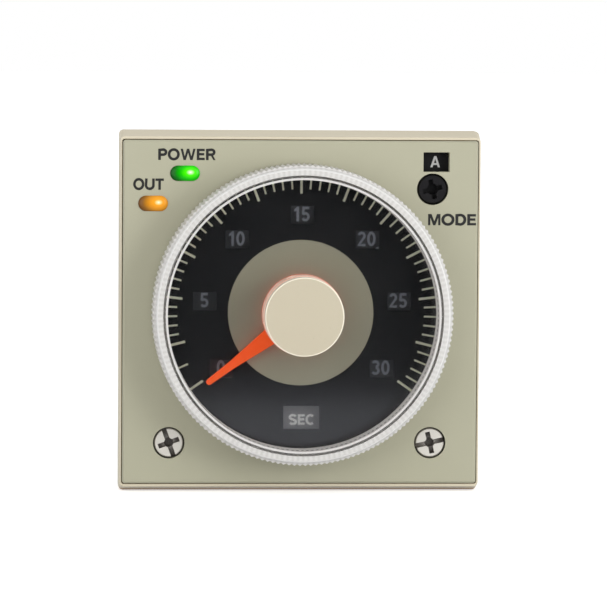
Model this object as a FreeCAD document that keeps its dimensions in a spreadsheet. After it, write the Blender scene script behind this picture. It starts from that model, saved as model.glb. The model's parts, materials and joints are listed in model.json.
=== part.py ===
import FreeCAD, Part
import math
import operator
import os
import types

import Sketcher

# Plug-in timer relay with a 48 mm square front and an octal plug, in millimetres.
# X runs to the right as seen from the front, the front faces -Y, and Z is up.
# The origin is the centre of the pin circle on the rear face of the base.
# Depths are measured backwards from the front face of the panel, so what stands proud has a negative depth.
# Angles on the dial run clockwise from the top as seen from the front.

DRIVING_SIZES = {
    # Case
    "front_to_base": 58.3,
    "flange_size": 48.0,
    "flange_rear": 6.0,
    "bezel_front": 0.4,
    "bezel_front_wide": 47.8,
    "bezel_front_tall": 46.5,
    "bezel_slope_end": 3.4,
    "bezel_corner": 0.6,
    "cavity_wide": 45.2,
    "cavity_tall": 44.8,
    "chassis_seat": 4.9,
    "tube_size": 44.8,
    "tube_wall": 1.6,
    "tube_corner": 1.6,
    "tube_end": 54.3,
    "ratchet_start": 13.0,
    "ratchet_pitch": 1.8,
    "ratchet_count": 14,
    "ratchet_wide": 9.0,
    "ratchet_deep": 0.5,
    "latch_depth": 46.4,
    "latch_long": 2.8,
    "latch_wide": 6.0,
    "latch_height": 10.0,
    "guide_long": 34.0,
    "guide_rise": 1.4,
    "guide_thick": 1.0,
    # Front panel
    "panel_wide": 47.15,
    "panel_tall": 45.6,
    "panel_thick": 1.7,
    "panel_corner": 0.35,
    "panel_edge_bevel": 0.22,
    "panel_gap": 0.12,
    "panel_hub_hole": 3.7,
    "tab_wide": 8.0,
    "tab_thick": 0.9,
    # Scale
    "scale_outer": 18.6,
    "scale_inner": 9.67,
    "scale_thick": 0.3,
    "scale_span": 250.0,
    "scale_divisions": 60,
    "scale_majors": 13,
    "scale_open_divisions": 5,
    "tick_outer": 18.4,
    "minor_inner": 16.4,
    "minor_wide": 0.25,
    "major_inner": 15.8,
    "major_wide": 0.33,
    "numeral_radius": 13.0,
    "numeral_windows": 7,
    "numeral_window_wide": 3.1,
    "numeral_window_tall": 2.4,
    "unit_window_drop": 13.95,
    "unit_window_wide": 4.8,
    "unit_window_tall": 3.1,
    "window_overhang": 0.25,
    "window_shift": 0.16,
    # Setting dial
    "dial_outer": 19.83,
    "dial_top": 7.3,
    "dial_knurl_front": 6.5,
    "dial_shoulder": 19.5,
    "dial_top_outer": 19.2,
    "dial_lip_inner": 17.87,
    "dial_wall_foot": 17.8,
    "dial_web_front": 3.5,
    "dial_web_rear": 1.25,
    "dial_rim_rear": 0.4,
    "dial_rim_step": 18.2,
    "dial_boss": 5.3,
    "dial_boss_top": 7.2,
    "dial_post": 4.4,
    "dial_post_top": 8.2,
    "dial_hub": 3.4,
    "dial_hub_end": 2.2,
    "knurl_count": 172,
    "knurl_deep": 0.25,
    "knurl_blank": 19.93,
    "knurl_overcut": 1.6,
    "cap_radius": 5.21,
    "cap_top": 9.0,
    "cap_bevel": 0.15,
    "dial_overrun": 1.9,
    "pointer_hub": 5.0,
    "pointer_thick": 0.5,
    "pointer_root": 4.6,
    "pointer_root_half": 1.15,
    "pointer_waist": 11.5,
    "pointer_waist_half": 0.52,
    "pointer_end": 15.2,
    "pointer_end_half": 0.38,
    # Potentiometer
    "shaft_radius": 2.0,
    "shaft_top": 3.5,
    "shaft_end": 7.4,
    "pot_radius": 8.0,
    "pot_wall": 0.8,
    "pot_front": 5.1,
    "track_thick": 0.7,
    "track_hole": 2.4,
    "wiper_front": 6.5,
    "wiper_thick": 0.7,
    "wiper_ring": 3.2,
    "wiper_reach": 6.6,
    "wiper_half": 0.8,
    # Selectors and the gears that turn the two rings
    "mode_across": 17.5,
    "mode_rise": 16.4,
    "selector_head": 1.93,
    "selector_sink": 0.15,
    "selector_chamfer": 0.15,
    "selector_gap": 0.17,
    "selector_neck": 1.88,
    "selector_shaft": 1.5,
    "selector_end": 8.0,
    "slot_wide": 0.64,
    "slot_deep": 0.9,
    "slot_short_half": 1.45,
    "slot_pit": 0.62,
    "slot_pit_deep": 1.7,
    "range_slot_angle": -20.0,
    "unit_slot_angle": 77.0,
    "mode_slot_angle": -14.0,
    "mode_slot_half": 1.3,
    "mode_slot_pit": 0.75,
    "mode_disc": 4.9,
    "mode_window_across": 18.0,
    "mode_window_rise": 20.0,
    "mode_window_wide": 3.5,
    "mode_window_tall": 2.6,
    "gear_module": 0.6,
    "gear_backlash": 0.2,
    "gear_addendum": 0.5,
    "gear_dedendum": 0.75,
    "pressure_angle": 20.0,
    "ring_teeth": 68,
    "pinion_teeth": 14,
    "pinion_overhang": 0.1,
    "ring_bore": 9.5,
    "ring_outer": 17.8,
    "ring_thick": 0.7,
    "numeral_ring_front": 2.0,
    "unit_ring_front": 2.9,
    "numeral_teeth": 10,
    "unit_teeth": 16,
    "numeral_teeth_before": 7.5,
    "unit_teeth_before": 1.5,
    "view_slot_inner": 11.9,
    "view_slot_outer": 16.0,
    "view_slot_start": 136.5,
    "view_slot_span": 56.0,
    # Chassis
    "chassis_wide": 45.0,
    "chassis_tall": 44.6,
    "chassis_front": 3.9,
    "chassis_boss": 9.45,
    "chassis_boss_inner": 7.0,
    "chassis_hub_hole": 2.6,
    "chassis_post_count": 4,
    "chassis_post_circle": 18.6,
    "chassis_post": 1.6,
    "chassis_stake": 0.9,
    "chassis_stake_long": 2.2,
    # Lamps
    "lens_wide": 3.93,
    "lens_tall": 2.05,
    "lens_proud": 0.35,
    "lens_bevel": 0.3,
    "lens_flange": 0.45,
    "lens_flange_thick": 0.7,
    "lens_pipe": 0.95,
    "lens_pipe_end": 5.3,
    "power_lens_across": -15.4,
    "power_lens_rise": 18.4,
    "output_lens_across": -19.6,
    "output_lens_rise": 14.4,
    "output_pipe_shift": 0.7,
    "led_radius": 1.25,
    "led_foot": 1.5,
    "led_foot_thick": 0.8,
    "led_front": 5.4,
    # Rotary switches
    "switch_size": 6.0,
    "switch_front": 5.1,
    "switch_bore": 1.55,
    "switch_bore_end": 8.3,
    # Boards
    "board_thick": 1.6,
    "front_board_front": 9.0,
    "front_board_size": 41.2,
    "front_board_corner": 1.5,
    "main_board_left": -13.6,
    "main_board_tall": 41.2,
    "terminal_board_front": 47.0,
    "terminal_board_wide": 37.6,
    "terminal_board_tall": 40.8,
    # Parts on the main board
    "block_bevel": 0.6,
    "relay_front": 15.5,
    "relay_rear": 44.5,
    "relay_low": -18.5,
    "relay_high": -5.7,
    "relay_stand": 22.0,
    "film_front": 25.0,
    "film_rear": 43.0,
    "film_low": 2.0,
    "film_high": 8.0,
    "film_stand": 12.5,
    "bridge_front": 36.0,
    "bridge_rear": 44.5,
    "bridge_low": 11.5,
    "bridge_high": 18.0,
    "bridge_stand": 3.2,
    "chip_front": 20.0,
    "chip_long": 19.3,
    "chip_wide": 6.4,
    "chip_thick": 3.2,
    "chip_lift": 0.5,
    "leg_row": 3.81,
    "leg_pitch": 2.54,
    "leg_count": 8,
    "leg_wide": 0.5,
    "leg_thick": 0.3,
    "leg_bend": 2.1,
    "smoothing_depth": 19.5,
    "smoothing_rise": 13.0,
    "smoothing_radius": 5.0,
    "smoothing_long": 16.5,
    "timing_depth": 30.5,
    "timing_rise": 14.0,
    "timing_radius": 3.2,
    "timing_long": 11.5,
    "crimp_start": 1.4,
    "crimp_long": 1.0,
    "crimp_deep": 0.4,
    "can_bevel": 0.5,
    "varistor_front": 16.0,
    "varistor_thick": 4.0,
    "varistor_rise": 2.0,
    "varistor_radius": 3.6,
    "varistor_stand": 1.2,
    "lead_spread": 2.5,
    "lead_wide": 0.6,
    # Base and plug
    "base_flange_thick": 1.5,
    "base_plug_size": 41.4,
    "base_plug_long": 2.5,
    "base_boss": 16.5,
    "base_boss_chamfer": 0.6,
    "spigot_radius": 3.95,
    "spigot_long": 14.3,
    "spigot_chamfer": 0.8,
    "key_wide": 2.3,
    "key_reach": 4.95,
    "key_long": 13.0,
    "pin_circle": 8.725,
    "pin_count": 8,
    "pin_radius": 1.18,
    "pin_long": 11.0,
    "pin_tip_long": 0.8,
    "pin_tip": 0.6,
    "pin_lift": 0.3,
    "blade_wide": 1.7,
    "blade_thick": 0.8,
    "blade_front": 46.2,
    "pillar_across": 15.0,
    "pillar_rise": 17.0,
    "pillar_radius": 1.7,
    "finger_thick": 1.2,
    "finger_wide": 5.0,
    "finger_hook": 1.2,
}

FIRST_PIN_ANGLE = 22.5
RANGE_SELECTOR_ANGLE = 225
UNIT_SELECTOR_ANGLE = 135
PINION_FLANK_CHORDS = 3
RING_FLANK_CHORDS = 2
SAME_PLANE = 1e-4
PARTS_FOLDER = "parts"

document = FreeCAD.newDocument("TimerRelay")


class Size:
    """A number together with the formula that gives it, so that a sketch starts solved and stays bound."""

    def __init__(self, number, formula):
        self.number = float(number)
        self.formula = formula

    def __add__(self, other):
        return combine(self, "+", other)

    def __radd__(self, other):
        return combine(other, "+", self)

    def __sub__(self, other):
        return combine(self, "-", other)

    def __rsub__(self, other):
        return combine(other, "-", self)

    def __mul__(self, other):
        return combine(self, "*", other)

    def __rmul__(self, other):
        return combine(other, "*", self)

    def __truediv__(self, other):
        return combine(self, "/", other)

    def __rtruediv__(self, other):
        return combine(other, "/", self)

    def __neg__(self):
        return combine(0, "-", self)


OPERATIONS = {"+": operator.add, "-": operator.sub, "*": operator.mul, "/": operator.truediv}


def as_size(value):
    return value if isinstance(value, Size) else Size(value, repr(float(value)))


def combine(left, sign, right):
    first = as_size(left)
    second = as_size(right)
    number = OPERATIONS[sign](first.number, second.number)
    return Size(number, f"({first.formula} {sign} {second.formula})")


def sine(angle):
    value = as_size(angle)
    return Size(math.sin(math.radians(value.number)), f"sin({value.formula})")


def cosine(angle):
    value = as_size(angle)
    return Size(math.cos(math.radians(value.number)), f"cos({value.formula})")


def on_dial(radius, angle):
    """The point x = r sin(a), z = r cos(a), with the angle a clockwise from the top."""
    return radius * sine(angle), radius * cosine(angle)


def make_sheet():
    """Write the driving sizes into the spreadsheet and return them as bound sizes."""
    sheet = document.addObject("Spreadsheet::Sheet", "Sizes")
    for row, (alias, value) in enumerate(DRIVING_SIZES.items(), start=1):
        sheet.set(f"A{row}", alias)
        sheet.set(f"B{row}", str(value))
        sheet.setAlias(f"B{row}", alias)
    document.recompute()
    return types.SimpleNamespace(
        **{alias: Size(sheet.get(alias), f"Sizes.{alias}") for alias in DRIVING_SIZES}
    )


dim = make_sheet()

# Sizes that follow from the driving ones
FRONT_FACE = as_size(0.0)
BASE_REAR = dim.front_to_base
BASE_FLANGE_REAR = dim.tube_end + dim.base_flange_thick
TUBE_INNER = dim.tube_size - 2 * dim.tube_wall
FRONT_BOARD_REAR = dim.front_board_front + dim.board_thick
TERMINAL_BOARD_REAR = dim.terminal_board_front + dim.board_thick
BASE_PLUG_FRONT = dim.tube_end - dim.base_plug_long
MAIN_BOARD_RIGHT = dim.main_board_left + dim.board_thick
SCALE_START = -dim.scale_span / 2
DIVISION = dim.scale_span / dim.scale_divisions
DIAL_REST_ANGLE = SCALE_START - dim.dial_overrun
RING_PITCH_RADIUS = dim.gear_module * dim.ring_teeth / 2
PINION_PITCH_RADIUS = dim.gear_module * dim.pinion_teeth / 2
GEAR_CENTRES = RING_PITCH_RADIUS + PINION_PITCH_RADIUS
TOOTH_STEP = 360 / dim.ring_teeth
SELECTOR_PLACES = {
    "range_selector": on_dial(GEAR_CENTRES, RANGE_SELECTOR_ANGLE),
    "unit_selector": on_dial(GEAR_CENTRES, UNIT_SELECTOR_ANGLE),
    "mode_selector": (dim.mode_across, dim.mode_rise),
}
LENS_PLACES = {
    "power_lens": (dim.power_lens_across, dim.power_lens_rise, as_size(0.0)),
    "output_lens": (dim.output_lens_across, dim.output_lens_rise, dim.output_pipe_shift),
}


def bind(thing, name, size):
    thing.setExpression(name, as_size(size).formula)


def add_body(label, across=0, rise=0, depth=0):
    """A body with its own origin, at the given place across, up and behind the panel's front face."""
    body = document.addObject("PartDesign::Body", label)
    body.Label = label
    body.AllowCompound = True
    bind(body, "Placement.Base.x", across)
    bind(body, "Placement.Base.y", depth - BASE_REAR)
    bind(body, "Placement.Base.z", rise)
    return body


def origin_plane(body, role):
    return next(plane for plane in body.Origin.OriginFeatures if plane.Role == role)


def add_sketch(body, name, role):
    sketch = body.newObject("Sketcher::SketchObject", f"{body.Name}_{name}")
    sketch.AttachmentSupport = (origin_plane(body, role), "")
    sketch.MapMode = "FlatFace"
    return sketch


def face_sketch(body, name, depth):
    """A sketch parallel to the front, at a depth behind it: its x is X, its y is Z and it looks forwards."""
    sketch = add_sketch(body, name, "XZ_Plane")
    bind(sketch, "AttachmentOffset.Base.z", -as_size(depth))
    return sketch


def turned_sketch(body, name, start_angle=90):
    """A half section of something turned about the body's Y axis: its x is the radius, its y the depth."""
    sketch = add_sketch(body, name, "XY_Plane")
    upright = FreeCAD.Rotation(FreeCAD.Vector(0, 1, 0), 1)
    sketch.AttachmentOffset = FreeCAD.Placement(FreeCAD.Vector(), upright)
    bind(sketch, "AttachmentOffset.Rotation.Angle", as_size(start_angle) - 90)
    return sketch


def vector(x, y):
    return FreeCAD.Vector(as_size(x).number, as_size(y).number, 0)


def hold_point(sketch, piece, vertex, x, y):
    """Tie one vertex of the sketch to its distances from the sketch's origin."""
    for kind, value in (("DistanceX", as_size(x)), ("DistanceY", as_size(y))):
        rule = Sketcher.Constraint(kind, -1, 1, piece, vertex, value.number)
        bind(sketch, f"Constraints[{sketch.addConstraint(rule)}]", value)


def hold_radius(sketch, piece, radius):
    rule = Sketcher.Constraint("Radius", piece, as_size(radius).number)
    bind(sketch, f"Constraints[{sketch.addConstraint(rule)}]", radius)


def draw_polygon(sketch, points):
    """A closed outline of straight edges, each corner held at its own bound place."""
    corners = [vector(x, y) for x, y in points]
    edges = [
        sketch.addGeometry(Part.LineSegment(start, end), False)
        for start, end in zip(corners, corners[1:] + corners[:1])
    ]
    for edge, following in zip(edges, edges[1:] + edges[:1]):
        sketch.addConstraint(Sketcher.Constraint("Coincident", edge, 2, following, 1))
    for edge, (x, y) in zip(edges, points):
        hold_point(sketch, edge, 1, x, y)


def draw_circle(sketch, radius, across=0, rise=0):
    circle = Part.Circle(vector(across, rise), FreeCAD.Vector(0, 0, 1), as_size(radius).number)
    piece = sketch.addGeometry(circle, False)
    hold_point(sketch, piece, 3, across, rise)
    hold_radius(sketch, piece, radius)


def draw_rectangle(sketch, wide, tall, across=0, rise=0):
    left = across - wide / 2
    right = across + wide / 2
    low = rise - tall / 2
    high = rise + tall / 2
    draw_polygon(sketch, [(left, low), (right, low), (right, high), (left, high)])


def draw_round_rectangle(sketch, wide, tall, corner):
    """A centred rectangle with round corners: four arcs joined by tangent edges."""
    inner_x = wide / 2 - corner
    inner_y = tall / 2 - corner
    centres = [(inner_x, inner_y), (-inner_x, inner_y), (-inner_x, -inner_y), (inner_x, -inner_y)]
    arcs = []
    for quarter, (x, y) in enumerate(centres):
        circle = Part.Circle(vector(x, y), FreeCAD.Vector(0, 0, 1), corner.number)
        start = quarter * math.pi / 2
        arcs.append(sketch.addGeometry(Part.ArcOfCircle(circle, start, start + math.pi / 2), False))
    join_arcs(sketch, arcs)
    for arc in arcs[1:]:
        sketch.addConstraint(Sketcher.Constraint("Equal", arcs[0], arc))
    hold_radius(sketch, arcs[0], corner)
    hold_point(sketch, arcs[0], 3, *centres[0])
    hold_point(sketch, arcs[2], 3, *centres[2])
    for index, kind in enumerate(("Horizontal", "Vertical", "Horizontal", "Vertical")):
        sketch.addConstraint(Sketcher.Constraint(kind, arcs[-1] + 1 + index))


def draw_obround(sketch, wide, tall, across, rise):
    """A lying slot outline: two half circles joined by tangent edges."""
    reach = (wide - tall) / 2
    arcs = []
    for side, start in ((1, -math.pi / 2), (-1, math.pi / 2)):
        circle = Part.Circle(vector(across + side * reach, rise), FreeCAD.Vector(0, 0, 1), tall.number / 2)
        arcs.append(sketch.addGeometry(Part.ArcOfCircle(circle, start, start + math.pi), False))
    join_arcs(sketch, arcs)
    sketch.addConstraint(Sketcher.Constraint("Equal", arcs[0], arcs[1]))
    hold_radius(sketch, arcs[0], tall / 2)
    hold_point(sketch, arcs[0], 3, across + reach, rise)
    hold_point(sketch, arcs[1], 3, across - reach, rise)


def join_arcs(sketch, arcs):
    """Join arcs, listed anticlockwise, end to start with straight edges tangent to both."""
    for arc, following in zip(arcs, arcs[1:] + arcs[:1]):
        start = sketch.getPoint(arc, 2)
        end = sketch.getPoint(following, 1)
        edge = sketch.addGeometry(Part.LineSegment(start, end), False)
        sketch.addConstraint(Sketcher.Constraint("Tangent", arc, 2, edge, 1))
        sketch.addConstraint(Sketcher.Constraint("Tangent", edge, 2, following, 1))


def draw_bar(sketch, angle, inner, outer, half_width):
    """A straight bar along the dial angle, from one distance from the centre to another."""
    along = (sine(angle), cosine(angle))
    aside = (cosine(angle), -sine(angle))
    corners = [(inner, -half_width), (outer, -half_width), (outer, half_width), (inner, half_width)]
    draw_polygon(
        sketch,
        [
            tuple(distance * axis + offset * side for axis, side in zip(along, aside))
            for distance, offset in corners
        ],
    )


def finish_feature(body, kind, name, sketch):
    feature = body.newObject(f"PartDesign::{kind}", f"{body.Name}_{name}")
    feature.Profile = sketch
    return feature


def pad(body, name, sketch, length):
    """Raise the sketch backwards, away from the viewer."""
    feature = finish_feature(body, "Pad", name, sketch)
    feature.Reversed = True
    bind(feature, "Length", length)
    body.Tip = feature
    return feature


def pocket(body, name, sketch, length):
    """Cut the sketch backwards, away from the viewer."""
    feature = finish_feature(body, "Pocket", name, sketch)
    bind(feature, "Length", length)
    body.Tip = feature
    return feature


def pocket_both_ways(body, name, sketch):
    feature = finish_feature(body, "Pocket", name, sketch)
    feature.Type = "ThroughAll"
    feature.Midplane = True
    body.Tip = feature
    return feature


def turn(body, name, sketch, kind="Revolution", angle=360, axis="V_Axis"):
    """Turn the half section about an axis of its sketch, by default clockwise as seen from the front."""
    feature = finish_feature(body, kind, name, sketch)
    feature.ReferenceAxis = (sketch, [axis])
    bind(feature, "Angle", angle)
    body.Tip = feature
    return feature


def repeat_round(body, name, feature, count, angle):
    """Repeat a feature clockwise round the body's Y axis, over the angle from the first to the last."""
    pattern = body.newObject("PartDesign::PolarPattern", f"{body.Name}_{name}")
    pattern.Originals = [feature]
    pattern.Axis = (feature.Profile[0], ["N_Axis"])
    pattern.Reversed = True
    bind(pattern, "Angle", angle)
    bind(pattern, "Occurrences", count)
    body.Tip = pattern
    return pattern


def repeat_along(body, name, feature, count, pitch):
    """Repeat a feature backwards along the body's Y axis."""
    row = body.newObject("PartDesign::LinearPattern", f"{body.Name}_{name}")
    row.Originals = [feature]
    row.Direction = (origin_plane(body, "Y_Axis"), [""])
    bind(row, "Length", pitch * (count - 1))
    bind(row, "Occurrences", count)
    body.Tip = row


def bevel_edges(body, name, base, depth, size):
    """Bevel every edge of the feature that lies in one plane parallel to the front."""
    document.recompute()
    chosen = []
    for number, edge in enumerate(base.Shape.Edges, start=1):
        box = edge.BoundBox
        if max(abs(box.YMin - depth.number), abs(box.YMax - depth.number)) < SAME_PLANE:
            chosen.append(f"Edge{number}")
    bevel = body.newObject("PartDesign::Chamfer", f"{body.Name}_{name}")
    bevel.Base = (base, chosen)
    bind(bevel, "Size", size)
    body.Tip = bevel
    return bevel


def involute_half_angle(teeth, radius):
    """Half the angle of a tooth at a radius, in radians: s/2r + inv(a) - inv(a_r), less the backlash.

    Here inv(a) = tan(a) - a, and cos(a_r) = r cos(a) / radius with r the pitch radius.
    """
    pressure = math.radians(dim.pressure_angle.number)
    pitch_radius = dim.gear_module.number * teeth / 2
    at_radius = math.acos(min(1.0, pitch_radius * math.cos(pressure) / radius))
    thickness = math.pi * dim.gear_module.number / 2 - dim.gear_backlash.number / 2
    involute = math.tan(pressure) - pressure - (math.tan(at_radius) - at_radius)
    return thickness / (2 * pitch_radius) + involute


def draw_tooth(sketch, teeth, angle, chords):
    """One involute tooth, its flanks drawn as short chords from below the root to the tip."""
    pitch_radius = dim.gear_module.number * teeth / 2
    root = pitch_radius - dim.gear_dedendum.number
    tip = pitch_radius + dim.gear_addendum.number
    sunk = root - dim.gear_backlash.number
    radii = [sunk] + [root + (tip - root) * step / chords for step in range(chords + 1)]
    middle = math.radians(angle)
    flank = [(radius, involute_half_angle(teeth, radius)) for radius in radii]
    outline = [(radius, middle - half) for radius, half in flank]
    outline += [(radius, middle + half) for radius, half in reversed(flank)]
    draw_polygon(sketch, [(radius * math.sin(a), radius * math.cos(a)) for radius, a in outline])


def make_housing():
    """Cream case: sloping square bezel with a seat for the panel, and the tube behind it."""
    body = add_body("housing")
    front = face_sketch(body, "bezel_front", dim.bezel_front)
    draw_round_rectangle(front, dim.bezel_front_wide, dim.bezel_front_tall, dim.bezel_corner)
    rear = face_sketch(body, "bezel_rear", dim.bezel_slope_end)
    draw_round_rectangle(rear, dim.flange_size, dim.flange_size, dim.bezel_corner)
    slope = finish_feature(body, "AdditiveLoft", "slope", front)
    slope.Sections = [rear]
    slope.Ruled = True
    flange = face_sketch(body, "flange", dim.bezel_slope_end)
    draw_round_rectangle(flange, dim.flange_size, dim.flange_size, dim.bezel_corner)
    pad(body, "flange_pad", flange, dim.flange_rear - dim.bezel_slope_end)
    tube = face_sketch(body, "tube", dim.flange_rear)
    draw_round_rectangle(tube, dim.tube_size, dim.tube_size, dim.tube_corner)
    pad(body, "tube_pad", tube, dim.tube_end - dim.flange_rear)
    seat = face_sketch(body, "panel_seat", dim.bezel_front)
    seat_wide = dim.panel_wide + 2 * dim.panel_gap
    seat_tall = dim.panel_tall + 2 * dim.panel_gap
    draw_round_rectangle(seat, seat_wide, seat_tall, dim.panel_corner)
    pocket(body, "panel_seat_pocket", seat, dim.panel_thick - dim.bezel_front)
    cavity = face_sketch(body, "cavity", dim.bezel_front)
    draw_round_rectangle(cavity, dim.cavity_wide, dim.cavity_tall, dim.panel_corner)
    pocket(body, "cavity_pocket", cavity, dim.chassis_seat - dim.bezel_front)
    bore = face_sketch(body, "bore", dim.bezel_front)
    draw_round_rectangle(bore, TUBE_INNER, TUBE_INNER, dim.panel_corner)
    pocket(body, "bore_pocket", bore, dim.tube_end - dim.bezel_front)
    add_board_guides(body)
    cut_latch_windows(body)
    cut_ratchets(body)


def add_board_guides(body):
    """Two ribs on the floor and two on the roof of the tube that take the main board between them."""
    guides = face_sketch(body, "guides", FRONT_BOARD_REAR + dim.board_thick)
    reach = TUBE_INNER / 2 - dim.guide_rise / 2 + dim.tube_wall / 4
    across_left = dim.main_board_left - dim.panel_gap - dim.guide_thick / 2
    across_right = MAIN_BOARD_RIGHT + dim.panel_gap + dim.guide_thick / 2
    for across in (across_left, across_right):
        for side in (-1, 1):
            tall = dim.guide_rise + dim.tube_wall / 2
            draw_rectangle(guides, dim.guide_thick, tall, across, side * reach)
    pad(body, "guides_pad", guides, dim.guide_long)


def cut_latch_windows(body):
    """Windows in the left and right walls for the base's snap hooks."""
    windows = add_sketch(body, "latch_windows", "YZ_Plane")
    for side in (-1, 1):
        draw_rectangle(windows, dim.latch_long, dim.latch_wide, dim.latch_depth, side * dim.latch_height)
    pocket_both_ways(body, "latch_windows_pocket", windows)


def cut_ratchets(body):
    """Rows of grooves on the roof and floor that a panel clamp's hooks step along."""
    groove = face_sketch(body, "ratchet", dim.ratchet_start)
    for side in (-1, 1):
        rise = side * (dim.tube_size / 2)
        draw_rectangle(groove, dim.ratchet_wide, 2 * dim.ratchet_deep, 0, rise)
    cut = pocket(body, "ratchet_pocket", groove, dim.ratchet_pitch / 2)
    repeat_along(body, "ratchet_row", cut, dim.ratchet_count, dim.ratchet_pitch)


def numeral_window_centres():
    """Centres of the upright numeral windows, one at every other major mark."""
    step = dim.scale_span / (dim.numeral_windows - 1)
    count = int(dim.numeral_windows.number)
    return [on_dial(dim.numeral_radius, SCALE_START + step * index) for index in range(count)]


def draw_dial_windows(sketch, overhang):
    """The numeral and unit windows, set a little to the right and larger all round by an overhang."""
    wide = dim.numeral_window_wide + 2 * overhang
    tall = dim.numeral_window_tall + 2 * overhang
    for across, rise in numeral_window_centres():
        draw_rectangle(sketch, wide, tall, across + dim.window_shift, rise)
    unit_wide = dim.unit_window_wide + 2 * overhang
    unit_tall = dim.unit_window_tall + 2 * overhang
    draw_rectangle(sketch, unit_wide, unit_tall, dim.window_shift, -dim.unit_window_drop)


def make_front_panel():
    """Grey cover plate with a ring recess for the scale, its windows, lamp slots and selector holes."""
    body = add_body("front_panel")
    plate = face_sketch(body, "plate", FRONT_FACE)
    draw_round_rectangle(plate, dim.panel_wide, dim.panel_tall, dim.panel_corner)
    base = pad(body, "plate_pad", plate, dim.panel_thick)
    bevel_edges(body, "edge_bevel", base, FRONT_FACE, dim.panel_edge_bevel)
    recess = face_sketch(body, "scale_recess", FRONT_FACE)
    draw_circle(recess, dim.scale_outer)
    draw_circle(recess, dim.scale_inner)
    pocket(body, "scale_recess_pocket", recess, dim.scale_thick)
    holes = face_sketch(body, "holes", FRONT_FACE)
    draw_circle(holes, dim.panel_hub_hole)
    draw_dial_windows(holes, dim.window_overhang)
    for across, rise in SELECTOR_PLACES.values():
        draw_circle(holes, dim.selector_head + dim.selector_gap, across, rise)
    for across, rise, _ in LENS_PLACES.values():
        draw_obround(holes, dim.lens_wide, dim.lens_tall, across, rise)
    draw_rectangle(
        holes, dim.mode_window_wide, dim.mode_window_tall, dim.mode_window_across, dim.mode_window_rise
    )
    pocket(body, "holes_pocket", holes, dim.panel_thick)
    tabs = face_sketch(body, "tabs", dim.panel_thick)
    tab_across = (dim.cavity_wide - dim.tab_thick) / 2
    tab_rise = (dim.cavity_tall - dim.tab_thick) / 2
    for side in (-1, 1):
        draw_rectangle(tabs, dim.tab_thick, dim.tab_wide, side * tab_across, 0)
        draw_rectangle(tabs, dim.tab_wide, dim.tab_thick, 0, side * tab_rise)
    pad(body, "tabs_pad", tabs, dim.chassis_front - dim.panel_thick)


def make_scale_plate():
    """Black ring with the windows and with the tick marks left open, so that the panel shows in them."""
    body = add_body("scale_plate")
    ring = face_sketch(body, "ring", FRONT_FACE)
    draw_circle(ring, dim.scale_outer)
    draw_circle(ring, dim.scale_inner)
    pad(body, "ring_pad", ring, dim.scale_thick)
    windows = face_sketch(body, "windows", FRONT_FACE)
    draw_dial_windows(windows, overhang=0)
    pocket(body, "windows_pocket", windows, dim.scale_thick)
    first_minor = SCALE_START + DIVISION * dim.scale_open_divisions
    lone_minor = SCALE_START + DIVISION * dim.scale_open_divisions / 2
    minor_count = dim.scale_divisions - dim.scale_open_divisions + 1
    minor_span = DIVISION * (minor_count - 1)
    cut_ticks(body, "lone", lone_minor, dim.minor_inner, dim.minor_wide, None, None)
    cut_ticks(body, "minor", first_minor, dim.minor_inner, dim.minor_wide, minor_count, minor_span)
    cut_ticks(
        body, "major", SCALE_START, dim.major_inner, dim.major_wide, dim.scale_majors, dim.scale_span
    )


def cut_ticks(body, name, angle, inner, wide, count, span):
    tick = face_sketch(body, f"{name}_tick", FRONT_FACE)
    draw_bar(tick, angle, inner, dim.tick_outer, wide / 2)
    cut = pocket(body, f"{name}_tick_pocket", tick, dim.scale_thick)
    if count is not None:
        repeat_round(body, f"{name}_ticks", cut, count, span)


def make_setting_dial():
    """Clear dial: dished web, knurled rim with a sloping shoulder, stepped boss and a hub tube."""
    body = add_body("setting_dial")
    section = turned_sketch(body, "section")
    draw_polygon(
        section,
        [
            (0, -dim.shaft_top),
            (dim.shaft_radius, -dim.shaft_top),
            (dim.shaft_radius, dim.dial_hub_end),
            (dim.dial_hub, dim.dial_hub_end),
            (dim.dial_hub, -dim.dial_web_rear),
            (dim.dial_rim_step, -dim.dial_web_rear),
            (dim.dial_rim_step, -dim.dial_rim_rear),
            (dim.knurl_blank, -dim.dial_rim_rear),
            (dim.knurl_blank, -dim.dial_knurl_front),
            (dim.dial_shoulder, -dim.dial_knurl_front),
            (dim.dial_top_outer, -dim.dial_top),
            (dim.dial_lip_inner, -dim.dial_top),
            (dim.dial_wall_foot, -dim.dial_web_front),
            (dim.dial_boss, -dim.dial_web_front),
            (dim.dial_boss, -dim.dial_boss_top),
            (dim.dial_post, -dim.dial_boss_top),
            (dim.dial_post, -dim.dial_post_top),
            (0, -dim.dial_post_top),
        ],
    )
    turn(body, "turned", section)
    cut_knurl(body)


def cut_knurl(body):
    """V grooves all round the rim, which cross outside the dial's radius and so leave sharp ridges on it."""
    groove = face_sketch(body, "knurl", -dim.dial_knurl_front)
    root = dim.dial_outer - dim.knurl_deep
    ridge_across, ridge_rise = on_dial(dim.dial_outer, 180 / dim.knurl_count)
    across = ridge_across * dim.knurl_overcut
    rise = root + (ridge_rise - root) * dim.knurl_overcut
    draw_polygon(groove, [(-across, rise), (0, root), (across, rise)])
    cut = pocket(body, "knurl_pocket", groove, dim.dial_knurl_front - dim.dial_rim_rear)
    repeat_round(body, "knurl_round", cut, dim.knurl_count, 360)


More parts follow.
